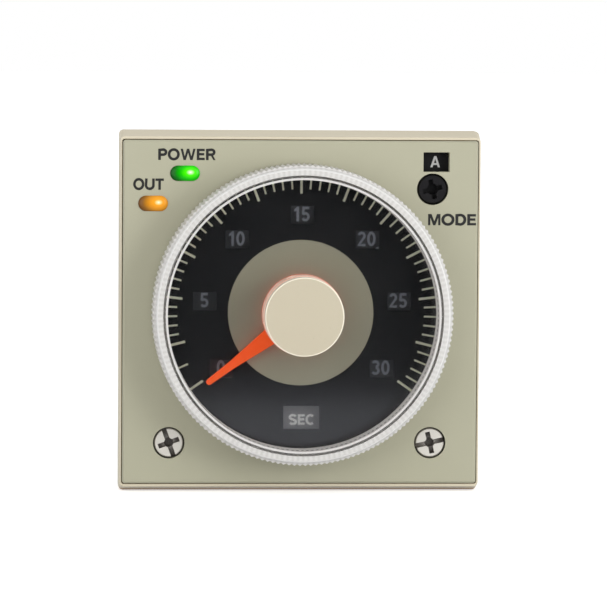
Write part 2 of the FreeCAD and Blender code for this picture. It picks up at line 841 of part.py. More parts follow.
def draw_pointer_arm(sketch):
    """The arm's outline, straight from root to waist and from waist to end, at the dial's rest angle."""
    stations = [
        (dim.pointer_root, dim.pointer_root_half),
        (dim.pointer_waist, dim.pointer_waist_half),
        (dim.pointer_end, dim.pointer_end_half),
    ]
    outline = [(distance, -half) for distance, half in stations]
    outline += [(distance, half) for distance, half in reversed(stations)]
    along = (sine(DIAL_REST_ANGLE), cosine(DIAL_REST_ANGLE))
    aside = (cosine(DIAL_REST_ANGLE), -sine(DIAL_REST_ANGLE))
    draw_polygon(
        sketch,
        [
            tuple(distance * axis + offset * side for axis, side in zip(along, aside))
            for distance, offset in outline
        ],
    )


def make_dial_pointer():
    """Orange pointer bonded under the dial's web: its hub ring, arm and round end overlap."""
    body = add_body("dial_pointer")
    front = -dim.dial_web_rear
    hub = face_sketch(body, "pointer_hub", front)
    draw_circle(hub, dim.pointer_hub)
    draw_circle(hub, dim.dial_hub)
    arm = face_sketch(body, "pointer_arm", front)
    draw_pointer_arm(arm)
    end = face_sketch(body, "pointer_end", front)
    draw_circle(end, dim.pointer_end_half, *on_dial(dim.pointer_end, DIAL_REST_ANGLE))
    for name, sketch in (("hub", hub), ("arm", arm), ("end", end)):
        pad(body, f"{name}_pad", sketch, dim.pointer_thick)


def make_knob_cap():
    """Cream lid on the dial's boss, pressed over its post, with a bevelled top edge."""
    body = add_body("knob_cap")
    section = turned_sketch(body, "section")
    draw_polygon(
        section,
        [
            (0, -dim.cap_top),
            (dim.cap_radius - dim.cap_bevel, -dim.cap_top),
            (dim.cap_radius, dim.cap_bevel - dim.cap_top),
            (dim.cap_radius, -dim.dial_boss_top),
            (dim.dial_post, -dim.dial_boss_top),
            (dim.dial_post, -dim.dial_post_top),
            (0, -dim.dial_post_top),
        ],
    )
    turn(body, "turned", section)


def make_potentiometer():
    """Shaft, wiper, cup-shaped case and the track wafer that closes the case against the board."""
    turned_part("dial_shaft", [
        (0, -dim.shaft_top),
        (dim.shaft_radius, -dim.shaft_top),
        (dim.shaft_radius, dim.shaft_end),
        (0, dim.shaft_end),
    ])
    track_front = dim.front_board_front - dim.track_thick
    shaft_hole = dim.shaft_radius + dim.switch_bore - dim.selector_shaft
    turned_part("pot_case", [
        (shaft_hole, dim.pot_front),
        (dim.pot_radius, dim.pot_front),
        (dim.pot_radius, track_front),
        (dim.pot_radius - dim.pot_wall, track_front),
        (dim.pot_radius - dim.pot_wall, dim.pot_front + dim.pot_wall),
        (shaft_hole, dim.pot_front + dim.pot_wall),
    ])
    turned_part("pot_track", [
        (dim.track_hole, track_front),
        (dim.pot_radius, track_front),
        (dim.pot_radius, dim.front_board_front),
        (dim.track_hole, dim.front_board_front),
    ])
    wiper = add_body("pot_wiper")
    ring = face_sketch(wiper, "ring", dim.wiper_front)
    draw_circle(ring, dim.wiper_ring)
    draw_circle(ring, dim.shaft_radius)
    pad(wiper, "ring_pad", ring, dim.wiper_thick)
    arm = face_sketch(wiper, "arm", dim.wiper_front)
    arm_root = (dim.wiper_ring + dim.shaft_radius) / 2
    draw_bar(arm, DIAL_REST_ANGLE, arm_root, dim.wiper_reach, dim.wiper_half)
    pad(wiper, "arm_pad", arm, dim.wiper_thick)


def turned_part(label, outline):
    body = add_body(label)
    section = turned_sketch(body, "section")
    draw_polygon(section, outline)
    turn(body, "turned", section)
    return body


def selector_section(flange_radius, flange_front, flange_rear):
    """Half section of a selector: chamfered head, a flange for its gear or disc, and the shaft."""
    chamfer_end = dim.selector_sink + dim.selector_chamfer
    return [
        (0, dim.selector_sink),
        (dim.selector_head - dim.selector_chamfer, dim.selector_sink),
        (dim.selector_head, chamfer_end),
        (dim.selector_head, dim.panel_thick),
        (dim.selector_neck, dim.panel_thick),
        (dim.selector_neck, flange_front),
        (flange_radius, flange_front),
        (flange_radius, flange_rear),
        (dim.selector_shaft, flange_rear),
        (dim.selector_shaft, dim.selector_end),
        (0, dim.selector_end),
    ]


def make_selector(label, section_points, slot_angle, long_half, short_half, pit_radius):
    """Turned selector with a cross recess: one long slot, a shorter one across it and a round pit."""
    body = add_body(label, *SELECTOR_PLACES[label])
    section = turned_sketch(body, "section")
    draw_polygon(section, section_points)
    turn(body, "turned", section)
    for name, angle, half in (("long", slot_angle, long_half), ("short", slot_angle + 90, short_half)):
        slot = face_sketch(body, f"{name}_slot", dim.selector_sink)
        draw_bar(slot, angle, -half, half, dim.slot_wide / 2)
        pocket(body, f"{name}_slot_pocket", slot, dim.slot_deep)
    pit = face_sketch(body, "slot_pit", dim.selector_sink)
    draw_circle(pit, pit_radius)
    pocket(body, "slot_pit_pocket", pit, dim.slot_pit_deep)
    return body


def make_geared_selector(label, ring_front, slot_angle, towards_dial):
    """Ivory selector whose pinion meets one of the rings, with a tooth pointing at the dial's axis."""
    front = ring_front - dim.pinion_overhang
    rear = ring_front + dim.ring_thick + dim.pinion_overhang
    root = PINION_PITCH_RADIUS - dim.gear_dedendum
    section = selector_section(root, front, rear)
    full_slot = dim.selector_head + dim.selector_gap
    body = make_selector(label, section, slot_angle, full_slot, dim.slot_short_half, dim.slot_pit)
    tooth = face_sketch(body, "tooth", front)
    draw_tooth(tooth, int(dim.pinion_teeth.number), towards_dial, PINION_FLANK_CHORDS)
    first = pad(body, "tooth_pad", tooth, rear - front)
    repeat_round(body, "teeth", first, dim.pinion_teeth, 360)


def make_selectors():
    half_turn = 180
    range_inward = RANGE_SELECTOR_ANGLE - half_turn
    unit_inward = UNIT_SELECTOR_ANGLE - half_turn
    make_geared_selector("range_selector", dim.numeral_ring_front, dim.range_slot_angle, range_inward)
    make_geared_selector("unit_selector", dim.unit_ring_front, dim.unit_slot_angle, unit_inward)
    disc_front = dim.numeral_ring_front
    section = selector_section(dim.mode_disc, disc_front, disc_front + dim.ring_thick)
    half = dim.mode_slot_half
    make_selector("mode_selector", section, dim.mode_slot_angle, half, half, dim.mode_slot_pit)


def make_ring(label, front, first_tooth, teeth):
    """Flat ring that turns on the chassis boss, with a toothed sector at its edge."""
    body = add_body(label)
    ring = face_sketch(body, "ring", front)
    draw_circle(ring, dim.ring_outer)
    draw_circle(ring, dim.ring_bore)
    pad(body, "ring_pad", ring, dim.ring_thick)
    sector = turned_sketch(body, "sector", first_tooth - TOOTH_STEP / 2)
    inner = (dim.ring_bore + dim.ring_outer) / 2
    outer = RING_PITCH_RADIUS - dim.gear_dedendum
    rear = front + dim.ring_thick
    draw_polygon(sector, [(inner, front), (outer, front), (outer, rear), (inner, rear)])
    turn(body, "sector_turned", sector, angle=TOOTH_STEP * teeth)
    tooth = face_sketch(body, "tooth", front)
    draw_tooth(tooth, int(dim.ring_teeth.number), first_tooth.number, RING_FLANK_CHORDS)
    first = pad(body, "tooth_pad", tooth, dim.ring_thick)
    repeat_round(body, "teeth", first, teeth, TOOTH_STEP * (teeth - 1))
    return body


def make_rings():
    """The numeral ring in front, with a slot that shows the unit ring behind it."""
    numeral_first = RANGE_SELECTOR_ANGLE - TOOTH_STEP * dim.numeral_teeth_before
    numeral_ring = make_ring("numeral_ring", dim.numeral_ring_front, numeral_first, dim.numeral_teeth)
    slot = turned_sketch(numeral_ring, "view_slot", dim.view_slot_start)
    front = dim.numeral_ring_front - dim.pinion_overhang
    rear = dim.numeral_ring_front + dim.ring_thick + dim.pinion_overhang
    draw_polygon(
        slot,
        [
            (dim.view_slot_inner, front),
            (dim.view_slot_outer, front),
            (dim.view_slot_outer, rear),
            (dim.view_slot_inner, rear),
        ],
    )
    turn(numeral_ring, "view_slot_groove", slot, kind="Groove", angle=dim.view_slot_span)
    unit_first = UNIT_SELECTOR_ANGLE - TOOTH_STEP * dim.unit_teeth_before
    make_ring("unit_ring", dim.unit_ring_front, unit_first, dim.unit_teeth)


def make_chassis():
    """Moulded plate on the housing's ledge: boss for the rings, bearings, and posts for the front board."""
    body = add_body("chassis")
    plate = face_sketch(body, "plate", dim.chassis_front)
    draw_round_rectangle(plate, dim.chassis_wide, dim.chassis_tall, dim.panel_corner)
    pad(body, "plate_pad", plate, dim.chassis_seat - dim.chassis_front)
    boss = face_sketch(body, "boss", dim.panel_thick)
    draw_circle(boss, dim.chassis_boss)
    draw_circle(boss, dim.chassis_boss_inner)
    pad(body, "boss_pad", boss, dim.chassis_front - dim.panel_thick)
    holes = face_sketch(body, "holes", dim.chassis_front)
    draw_circle(holes, dim.chassis_hub_hole)
    for across, rise in SELECTOR_PLACES.values():
        draw_circle(holes, dim.switch_bore, across, rise)
    for across, rise, shift in LENS_PLACES.values():
        draw_circle(holes, dim.led_radius, across + shift, rise)
    pocket(body, "holes_pocket", holes, dim.chassis_seat - dim.chassis_front)
    post = face_sketch(body, "post", dim.chassis_seat)
    draw_circle(post, dim.chassis_post, 0, dim.chassis_post_circle)
    first_post = pad(body, "post_pad", post, dim.front_board_front - dim.chassis_seat)
    repeat_round(body, "posts", first_post, dim.chassis_post_count, 360)
    stake = face_sketch(body, "stake", dim.front_board_front)
    draw_circle(stake, dim.chassis_stake, 0, dim.chassis_post_circle)
    first_stake = pad(body, "stake_pad", stake, dim.chassis_stake_long)
    repeat_round(body, "stakes", first_stake, dim.chassis_post_count, 360)


def make_lens(label):
    """Lamp lens: domed window, a flange behind the panel and a light pipe down to the lamp."""
    across, rise, shift = LENS_PLACES[label]
    body = add_body(label)
    window = face_sketch(body, "window", -dim.lens_proud)
    draw_obround(window, dim.lens_wide, dim.lens_tall, across, rise)
    proud = pad(body, "window_pad", window, dim.panel_thick + dim.lens_proud)
    bevel_edges(body, "window_bevel", proud, -dim.lens_proud, dim.lens_bevel)
    flange = face_sketch(body, "flange", dim.panel_thick)
    grown = 2 * dim.lens_flange
    draw_obround(flange, dim.lens_wide + grown, dim.lens_tall + grown, across, rise)
    pad(body, "flange_pad", flange, dim.lens_flange_thick)
    pipe = face_sketch(body, "pipe", dim.panel_thick + dim.lens_flange_thick)
    draw_circle(pipe, dim.lens_pipe, across + shift, rise)
    pipe_long = dim.lens_pipe_end - dim.panel_thick - dim.lens_flange_thick
    pad(body, "pipe_pad", pipe, pipe_long)


def make_led(label, lens_label):
    """Lamp on the front board: round foot and a plain barrel under the light pipe."""
    across, rise, shift = LENS_PLACES[lens_label]
    body = add_body(label, across + shift, rise)
    section = turned_sketch(body, "section")
    foot_front = dim.front_board_front - dim.led_foot_thick
    draw_polygon(
        section,
        [
            (0, dim.led_front),
            (dim.led_radius, dim.led_front),
            (dim.led_radius, foot_front),
            (dim.led_foot, foot_front),
            (dim.led_foot, dim.front_board_front),
            (0, dim.front_board_front),
        ],
    )
    turn(body, "turned", section)


def make_switch(label, selector_label):
    """Sealed rotary switch on the front board, with a blind bore for the selector's shaft."""
    body = add_body(label, *SELECTOR_PLACES[selector_label])
    block = face_sketch(body, "block", dim.switch_front)
    draw_rectangle(block, dim.switch_size, dim.switch_size)
    pad(body, "block_pad", block, dim.front_board_front - dim.switch_front)
    bore = face_sketch(body, "bore", dim.switch_front)
    draw_circle(bore, dim.switch_bore)
    pocket(body, "bore_pocket", bore, dim.switch_bore_end - dim.switch_front)


def make_front_board():
    """Board behind the chassis, staked on the chassis posts."""
    body = add_body("front_board")
    plate = face_sketch(body, "plate", dim.front_board_front)
    draw_round_rectangle(plate, dim.front_board_size, dim.front_board_size, dim.front_board_corner)
    pad(body, "plate_pad", plate, dim.board_thick)
    hole = face_sketch(body, "stake_hole", dim.front_board_front)
    draw_circle(hole, dim.chassis_stake, 0, dim.chassis_post_circle)
    cut = pocket(body, "stake_hole_pocket", hole, dim.board_thick)
    repeat_round(body, "stake_holes", cut, dim.chassis_post_count, 360)


def make_terminal_board():
    """Board across the rear that the pins' blades are soldered into."""
    body = add_body("terminal_board")
    plate = face_sketch(body, "plate", dim.terminal_board_front)
    draw_rectangle(plate, dim.terminal_board_wide, dim.terminal_board_tall)
    pad(body, "plate_pad", plate, dim.board_thick)
    slot = face_sketch(body, "blade_slot", dim.terminal_board_front)
    draw_blade(slot)
    cut = pocket(body, "blade_slot_pocket", slot, dim.board_thick)
    repeat_round(body, "blade_slots", cut, dim.pin_count, 360)


def make_main_board():
    """Upright board between the front and terminal boards."""
    body = add_body("main_board")
    plate = face_sketch(body, "plate", FRONT_BOARD_REAR)
    middle = dim.main_board_left + dim.board_thick / 2
    draw_rectangle(plate, dim.board_thick, dim.main_board_tall, middle, 0)
    pad(body, "plate_pad", plate, dim.terminal_board_front - FRONT_BOARD_REAR)


def make_block(label, front, rear, low, high, stand):
    """A sealed block on the main board's right face, bevelled along the two edges away from the board."""
    body = add_body(label)
    block = face_sketch(body, "block", front)
    far = MAIN_BOARD_RIGHT + stand
    draw_polygon(
        block,
        [
            (MAIN_BOARD_RIGHT, low),
            (far - dim.block_bevel, low),
            (far, low + dim.block_bevel),
            (far, high - dim.block_bevel),
            (far - dim.block_bevel, high),
            (MAIN_BOARD_RIGHT, high),
        ],
    )
    pad(body, "block_pad", block, rear - front)


def make_can(label, depth, rise, radius, long):
    """An electrolytic capacitor standing on the main board, crimped near its foot, bevelled at its top."""
    body = add_body(label, MAIN_BOARD_RIGHT, rise, depth)
    section = add_sketch(body, "section", "XY_Plane")
    draw_polygon(
        section,
        [
            (0, 0),
            (0, radius),
            (dim.crimp_start, radius),
            (dim.crimp_start + dim.crimp_long / 2, radius - dim.crimp_deep),
            (dim.crimp_start + dim.crimp_long, radius),
            (long - dim.can_bevel, radius),
            (long, radius - dim.can_bevel),
            (long, 0),
        ],
    )
    turn(body, "turned", section, axis="H_Axis")


def make_varistor():
    """Dipped disc that stands on edge over the main board on two leads."""
    body = add_body("varistor")
    middle = MAIN_BOARD_RIGHT + dim.varistor_stand + dim.varistor_radius
    disc = face_sketch(body, "disc", dim.varistor_front)
    draw_circle(disc, dim.varistor_radius, middle, dim.varistor_rise)
    pad(body, "disc_pad", disc, dim.varistor_thick)
    leads = face_sketch(body, "leads", dim.varistor_front + (dim.varistor_thick - dim.lead_wide) / 2)
    for side in (-1, 1):
        rise = dim.varistor_rise + side * dim.lead_spread
        across = (MAIN_BOARD_RIGHT + middle) / 2
        draw_rectangle(leads, middle - MAIN_BOARD_RIGHT, dim.lead_wide, across, rise)
    pad(body, "leads_pad", leads, dim.lead_wide)


def make_timer_chip():
    """Dual in-line chip on the main board's left face, held off it by two rows of bent legs."""
    body = add_body("timer_chip")
    block = face_sketch(body, "block", dim.chip_front)
    middle = dim.main_board_left - dim.chip_lift - dim.chip_thick / 2
    draw_rectangle(block, dim.chip_thick, dim.chip_wide, middle, 0)
    pad(body, "block_pad", block, dim.chip_long)
    row_long = dim.leg_pitch * (dim.leg_count - 1) + dim.leg_wide
    legs = face_sketch(body, "legs", dim.chip_front + (dim.chip_long - row_long) / 2)
    bend = dim.main_board_left - dim.leg_bend
    for side in (-1, 1):
        root = side * (dim.chip_wide / 2 - dim.leg_thick)
        inner = side * (dim.leg_row - dim.leg_thick / 2)
        outer = side * (dim.leg_row + dim.leg_thick / 2)
        draw_polygon(
            legs,
            [
                (dim.main_board_left, inner),
                (dim.main_board_left, outer),
                (bend, outer),
                (bend, root),
                (bend + dim.leg_thick, root),
                (bend + dim.leg_thick, inner),
            ],
        )
    first = pad(body, "legs_pad", legs, dim.leg_wide)
    repeat_along(body, "leg_rows", first, dim.leg_count, dim.leg_pitch)


def make_board_parts():
    """The power parts, the timing capacitor, the timer chip and the relay."""
    make_block(
        "output_relay", dim.relay_front, dim.relay_rear, dim.relay_low, dim.relay_high, dim.relay_stand
    )
    make_block("film_capacitor", dim.film_front, dim.film_rear, dim.film_low, dim.film_high, dim.film_stand)
    make_block(
        "bridge_rectifier",
        dim.bridge_front,
        dim.bridge_rear,
        dim.bridge_low,
        dim.bridge_high,
        dim.bridge_stand,
    )
    make_can(
        "smoothing_capacitor",
        dim.smoothing_depth,
        dim.smoothing_rise,
        dim.smoothing_radius,
        dim.smoothing_long,
    )
    make_can("timing_capacitor", dim.timing_depth, dim.timing_rise, dim.timing_radius, dim.timing_long)
    make_varistor()
    make_timer_chip()


def make_base():
    """Black base: flange that closes the tube, plug inside it, round boss, keyed spigot and snap fingers."""
    body = add_body("base")
    flange = face_sketch(body, "flange", dim.tube_end)
    draw_round_rectangle(flange, dim.tube_size, dim.tube_size, dim.tube_corner)
    pad(body, "flange_pad", flange, dim.base_flange_thick)
    plug = face_sketch(body, "plug", BASE_PLUG_FRONT)
    draw_round_rectangle(plug, dim.base_plug_size, dim.base_plug_size, dim.panel_corner)
    pad(body, "plug_pad", plug, dim.base_plug_long)
    section = turned_sketch(body, "boss_section")
    spigot_end = BASE_REAR + dim.spigot_long
    draw_polygon(
        section,
        [
            (0, dim.tube_end),
            (dim.base_boss, dim.tube_end),
            (dim.base_boss, BASE_REAR - dim.base_boss_chamfer),
            (dim.base_boss - dim.base_boss_chamfer, BASE_REAR),
            (dim.spigot_radius, BASE_REAR),
            (dim.spigot_radius, spigot_end - dim.spigot_chamfer),
            (dim.spigot_radius - dim.spigot_chamfer, spigot_end),
            (0, spigot_end),
        ],
    )
    turn(body, "boss_turned", section)
    key = face_sketch(body, "key", BASE_REAR)
    draw_rectangle(key, dim.key_wide, dim.key_reach, 0, -dim.key_reach / 2)
    pad(body, "key_pad", key, dim.key_long)
    pillars = face_sketch(body, "pillars", TERMINAL_BOARD_REAR)
    for across in (-dim.pillar_across, dim.pillar_across):
        for rise in (-dim.pillar_rise, dim.pillar_rise):
            draw_circle(pillars, dim.pillar_radius, across, rise)
    pad(body, "pillars_pad", pillars, BASE_PLUG_FRONT - TERMINAL_BOARD_REAR)
    add_snap_fingers(body)
    slot = face_sketch(body, "blade_slot", BASE_PLUG_FRONT)
    draw_blade(slot)
    cut = pocket(body, "blade_slot_pocket", slot, BASE_REAR - BASE_PLUG_FRONT)
    repeat_round(body, "blade_slots", cut, dim.pin_count, 360)


def add_snap_fingers(body):
    """Four fingers along the side walls, each with a hook that sits in a window of the housing."""
    finger_front = dim.latch_depth - dim.latch_long / 2 + dim.panel_gap
    hook_rear = dim.latch_depth + dim.latch_long / 2 - dim.panel_gap
    outer = dim.base_plug_size / 2
    fingers = face_sketch(body, "fingers", finger_front)
    for side in (-1, 1):
        for rise in (-dim.latch_height, dim.latch_height):
            across = side * (outer - dim.finger_thick / 2)
            draw_rectangle(fingers, dim.finger_thick, dim.finger_wide, across, rise)
    pad(body, "fingers_pad", fingers, BASE_PLUG_FRONT - finger_front)
    for name, rise in (("upper", dim.latch_height), ("lower", -dim.latch_height)):
        hooks = add_sketch(body, f"{name}_hooks", "XY_Plane")
        bind(hooks, "AttachmentOffset.Base.z", rise)
        for side in (-1, 1):
            root = side * (outer - dim.finger_thick / 2)
            nose = side * (outer + dim.finger_hook)
            draw_polygon(hooks, [(root, finger_front), (nose, hook_rear), (root, hook_rear)])
        hook = finish_feature(body, "Pad", f"{name}_hooks_pad", hooks)
        hook.Midplane = True
        bind(hook, "Length", dim.finger_wide)
        body.Tip = hook


def draw_blade(sketch):
    """The flat blade of the first pin, its thickness along the radius of the pin circle."""
    half_thick = dim.blade_thick / 2
    inner = dim.pin_circle - half_thick
    outer = dim.pin_circle + half_thick
    draw_bar(sketch, FIRST_PIN_ANGLE, inner, outer, dim.blade_wide / 2)


def make_base_pins():
    """Eight plug pins in a circle, each with a tapered tip and a flat blade down to the terminal board."""
    across, rise = on_dial(dim.pin_circle, FIRST_PIN_ANGLE)
    body = add_body("base_pins")
    barrel_start = BASE_REAR + dim.pin_lift
    barrel = face_sketch(body, "barrel", barrel_start)
    draw_circle(barrel, dim.pin_radius, across, rise)
    pin_end = BASE_REAR + dim.pin_long
    barrel_end = pin_end - dim.pin_tip_long
    barrel_pad = pad(body, "barrel_pad", barrel, barrel_end - barrel_start)
    tip_root = face_sketch(body, "tip_root", barrel_end)
    draw_circle(tip_root, dim.pin_radius, across, rise)
    tip_end = face_sketch(body, "tip_end", pin_end)
    draw_circle(tip_end, dim.pin_tip, across, rise)
    tip = finish_feature(body, "AdditiveLoft", "tip", tip_root)
    tip.Sections = [tip_end]
    blade = face_sketch(body, "blade", dim.blade_front)
    draw_blade(blade)
    blade_pad = pad(body, "blade_pad", blade, barrel_start - dim.blade_front)
    pattern = repeat_round(body, "round", barrel_pad, dim.pin_count, 360)
    pattern.Originals = [barrel_pad, tip, blade_pad]


def write_parts():
    """Check every object of the document, then write each sub-part to its own file."""
    document.recompute()
    for item in document.Objects:
        if {"Invalid", "Error"} & set(item.State):
            raise RuntimeError(f"{item.Name} failed: {item.State}")
    pieces = [item for item in document.Objects if item.TypeId == "PartDesign::Body"]
    for piece in pieces:
        if piece.Shape.isNull() or not piece.Shape.isValid():
            raise RuntimeError(f"{piece.Label} has no valid shape")
    os.makedirs(PARTS_FOLDER, exist_ok=True)
    for piece in pieces:
        piece.Shape.exportStep(f"{PARTS_FOLDER}/{piece.Label}.step")


make_housing()
make_front_panel()
make_scale_plate()
make_setting_dial()
make_dial_pointer()
make_knob_cap()
make_potentiometer()
make_selectors()
make_rings()
make_chassis()
make_lens("power_lens")
make_lens("output_lens")
make_led("power_led", "power_lens")
make_led("output_led", "output_lens")
make_switch("range_switch", "range_selector")
make_switch("unit_switch", "unit_selector")
make_switch("mode_switch", "mode_selector")
make_front_board()
make_terminal_board()
make_main_board()
make_board_parts()
make_base()
make_base_pins()
write_parts()
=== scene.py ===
# %% [markdown]
# # A plug-in timer relay, seen from the front
#
# The part is a small square timer: a cream case, a grey-green front panel, a black scale under a clear
# knurled dial, three screwdriver selectors and two lamps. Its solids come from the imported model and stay
# where they are. This lesson gives them their finishes, and adds what a solid model leaves out: the soft
# edges of the dial and the cap, the domes of the lamps, and everything that is printed.

import json
import math

import bmesh
import bpy
import numpy as np
from mathutils import Matrix, Vector
from mathutils.geometry import tessellate_polygon


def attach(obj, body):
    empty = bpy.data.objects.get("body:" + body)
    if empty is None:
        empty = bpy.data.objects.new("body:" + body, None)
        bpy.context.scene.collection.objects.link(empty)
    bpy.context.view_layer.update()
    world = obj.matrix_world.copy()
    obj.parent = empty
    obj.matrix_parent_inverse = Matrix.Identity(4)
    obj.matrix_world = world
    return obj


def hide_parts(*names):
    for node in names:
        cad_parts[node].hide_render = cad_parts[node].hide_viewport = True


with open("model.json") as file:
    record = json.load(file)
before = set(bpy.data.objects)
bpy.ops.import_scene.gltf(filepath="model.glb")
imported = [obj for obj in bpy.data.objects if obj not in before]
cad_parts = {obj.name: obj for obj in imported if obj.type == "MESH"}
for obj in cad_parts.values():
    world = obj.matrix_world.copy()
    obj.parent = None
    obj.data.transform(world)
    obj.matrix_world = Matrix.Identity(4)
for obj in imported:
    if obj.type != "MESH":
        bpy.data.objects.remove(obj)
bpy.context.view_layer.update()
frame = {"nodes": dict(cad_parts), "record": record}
MM = 0.001

# %% [markdown]
# ## The camera
#
# The photo was taken almost square to the front, from a little left of the axis and a little above it, with
# a long lens. The camera could be placed by eye, but then the dial, which stands proud of the panel, would
# sit a few pixels off. Here its two angles, roll, aim and lens are those that put the corners of the panel
# and the tops of the dial and the cap where they are in the picture.

# %% Camera
FRONT_Y = -58.3
CAMERA_AZIMUTH = math.radians(3.857)
CAMERA_ELEVATION = math.radians(3.954)
CAMERA_ROLL = math.radians(0.376)
CAMERA_DISTANCE = 600.0
CAMERA_AIM = np.array([0.414, FRONT_Y, 1.172])
CAMERA_LENS = 268.13
SENSOR_WIDE = 36.0
NEAREST_SEEN = 0.01


def add_object(name, data):
    """A new object at the origin, linked to the scene."""
    piece = bpy.data.objects.new(name, data)
    bpy.context.scene.collection.objects.link(piece)
    return piece


def facing(place, aim, roll=0.0):
    """World matrix of a thing at a place, in millimetres, that looks at the aim.

    Back points from the aim to the place. Right is the vertical crossed with back, and up is back crossed
    with right. The roll r turns both: right cos(r) + up sin(r), and up cos(r) - right sin(r).
    """
    back = (place - aim) / np.linalg.norm(place - aim)
    right = np.cross([0.0, 0.0, 1.0], back)
    right = right / np.linalg.norm(right)
    up = np.cross(back, right)
    matrix = np.eye(4)
    matrix[:3, 0] = math.cos(roll) * right + math.sin(roll) * up
    matrix[:3, 1] = math.cos(roll) * up - math.sin(roll) * right
    matrix[:3, 2] = back
    matrix[:3, 3] = place * MM
    return Matrix(matrix.tolist())


camera_data = bpy.data.cameras.new("photo_camera")
camera_data.sensor_width = SENSOR_WIDE
camera_data.lens = CAMERA_LENS
camera_data.clip_start = NEAREST_SEEN
camera = add_object("photo_camera", camera_data)
towards_eye = np.array([
    -math.sin(CAMERA_AZIMUTH) * math.cos(CAMERA_ELEVATION),
    -math.cos(CAMERA_AZIMUTH) * math.cos(CAMERA_ELEVATION),
    math.sin(CAMERA_ELEVATION),
])
eye = CAMERA_AIM + CAMERA_DISTANCE * towards_eye
camera.matrix_world = facing(eye, CAMERA_AIM, CAMERA_ROLL)
bpy.context.scene.camera = camera
print("eye at", np.round(eye, 1))

# %% [markdown]
# ## Helpers for finishes
#
# A finish is a small net of nodes. One function adds and joins a node, and a few more make the steps that
# most finishes share, so each finish below is a short list. Colours are written as on a paint card, as sRGB
# hex values, and one function turns them into the linear values that the renderer works with.

# %% Finish helpers
# The mixing node's sockets go by number, because some share a name
MIX_FACTOR, MIX_A, MIX_B, MIX_COLOUR = 0, 6, 7, 2


def paint(code):
    """Linear colour of an sRGB hex code: c/12.92 below 0.04045, otherwise ((c + 0.055) / 1.055) ** 2.4."""
    levels = np.array([int(code[i:i + 2], 16) for i in (1, 3, 5)]) / 255
    linear = np.where(levels <= 0.04045, levels / 12.92, ((levels + 0.055) / 1.055) ** 2.4)
    return (*linear.tolist(), 1.0)


def per_size(millimetres):
    """Texture scale at which one cell of a pattern is about this long, in metres of Object coordinates."""
    return 1.0 / (millimetres * MM)


def add_node(material, kind, inputs=None, **settings):
    """Adds a node; an input given as a socket is joined, a hex code is a colour, and the rest are values."""
    tree = material.node_tree
    node = tree.nodes.new("ShaderNode" + kind)
    for name, value in settings.items():
        setattr(node, name, value)
    for key, value in (inputs or {}).items():
        if isinstance(value, bpy.types.NodeSocket):
            tree.links.new(value, node.inputs[key])
        else:
            node.inputs[key].default_value = paint(value) if isinstance(value, str) else value
    return node


def calculate(material, operation, *values):
    """Result of one sum of sockets or numbers."""
    return add_node(material, "Math", dict(enumerate(values)), operation=operation).outputs[0]


def noise(material, place, size, detail=2.0, **more):
    """Cloudy noise from 0 to 1, with cells of about this size in millimetres."""
    inputs = {"Vector": place, "Scale": per_size(size), "Detail": detail, **more}
    return add_node(material, "TexNoise", inputs).outputs["Fac"]


def blend(material, factor, first, second):
    """A colour that goes from the first to the second while the factor goes from 0 to 1."""
    inputs = {MIX_FACTOR: factor, MIX_A: first, MIX_B: second}
    return add_node(material, "Mix", inputs, data_type="RGBA").outputs[MIX_COLOUR]


def spread(material, value, low=0.0, high=1.0, start=0.0, end=1.0, **settings):
    """A value between start and end carried over to the range from low to high."""
    inputs = {"Value": value, "From Min": start, "From Max": end, "To Min": low, "To Max": high}
    return add_node(material, "MapRange", inputs, **settings).outputs["Result"]


def start_material(name):
    """An empty material, and the socket with the place of each point in Object coordinates."""
    material = bpy.data.materials.new(name)
    material.use_nodes = True
    material.node_tree.nodes.clear()
    return material, add_node(material, "TexCoord").outputs["Object"]


def close_material(material, shader):
    """Joins the last shader to the material's output."""
    add_node(material, "OutputMaterial", {"Surface": shader.outputs[0]})
    return material


def surface(material, colour, roughness, more=None, glow=None):
    """Closes the material with the layered surface shader; a glow gives off light of the same colour."""
    inputs = {"Base Color": colour, "Roughness": roughness, **(more or {})}
    if glow is not None:
        inputs.update({"Emission Color": colour, "Emission Strength": glow})
    return close_material(material, add_node(material, "BsdfPrincipled", inputs))


print("finish helpers ready")

# %% [markdown]
# ## Moulded plastics
#
# Case, panel, selectors, rings and chassis are injection-moulded ABS. The mould is spark-eroded, so the
# surface has a very fine even grain: it looks matt, the highlights are soft, and the colour wanders a little
# where the melt flowed. A flat colour would look like card. The real grain is a few hundredths of a
# millimetre, far too fine for this picture, so it is drawn a few tenths of a millimetre wide.

# %% Moulded ABS
FLOW_SIZE = 14.0
GRAIN_SIZE = 0.35
SEAM_SHUT, SEAM_OPEN = 0.25, 0.8
SEAM_SAMPLES = 6
ABS_SHEEN = 0.06
ABS_INDEX = 1.53


def moulded_abs(name, colour, flow_colour, painted_seam_shade, seam_reach, roughness, grain, glow=0.0, shine=0.5):
    """ABS from an eroded mould: slow flow shades between two near colours, and a fine grain as bump.

    Where other walls stand closer than seam_reach millimetres, a painted shade takes over, darker in creases
    and slots where shade falls. The glow is painted light: the surface gives off light of its own colour.
    """
    material, place = start_material(name)
    shade = blend(material, noise(material, place, FLOW_SIZE, detail=3.0), colour, flow_colour)
    # Painted shade: where walls stand close, the colour turns to the seam colour
    nearness = add_node(material, "AmbientOcclusion", {"Distance": seam_reach * MM}, samples=SEAM_SAMPLES)
    openness = spread(material, nearness.outputs["AO"], start=SEAM_SHUT, end=SEAM_OPEN)
    tone = blend(material, openness, painted_seam_shade, shade)
    grit = noise(material, place, GRAIN_SIZE)
    sheen = spread(material, grit, roughness - ABS_SHEEN, roughness + ABS_SHEEN)
    bump = add_node(material, "Bump", {"Height": grit, "Distance": grain * MM}).outputs["Normal"]
    more = {"Normal": bump, "IOR": ABS_INDEX, "Specular IOR Level": shine}
    return surface(material, tone, sheen, more, glow)
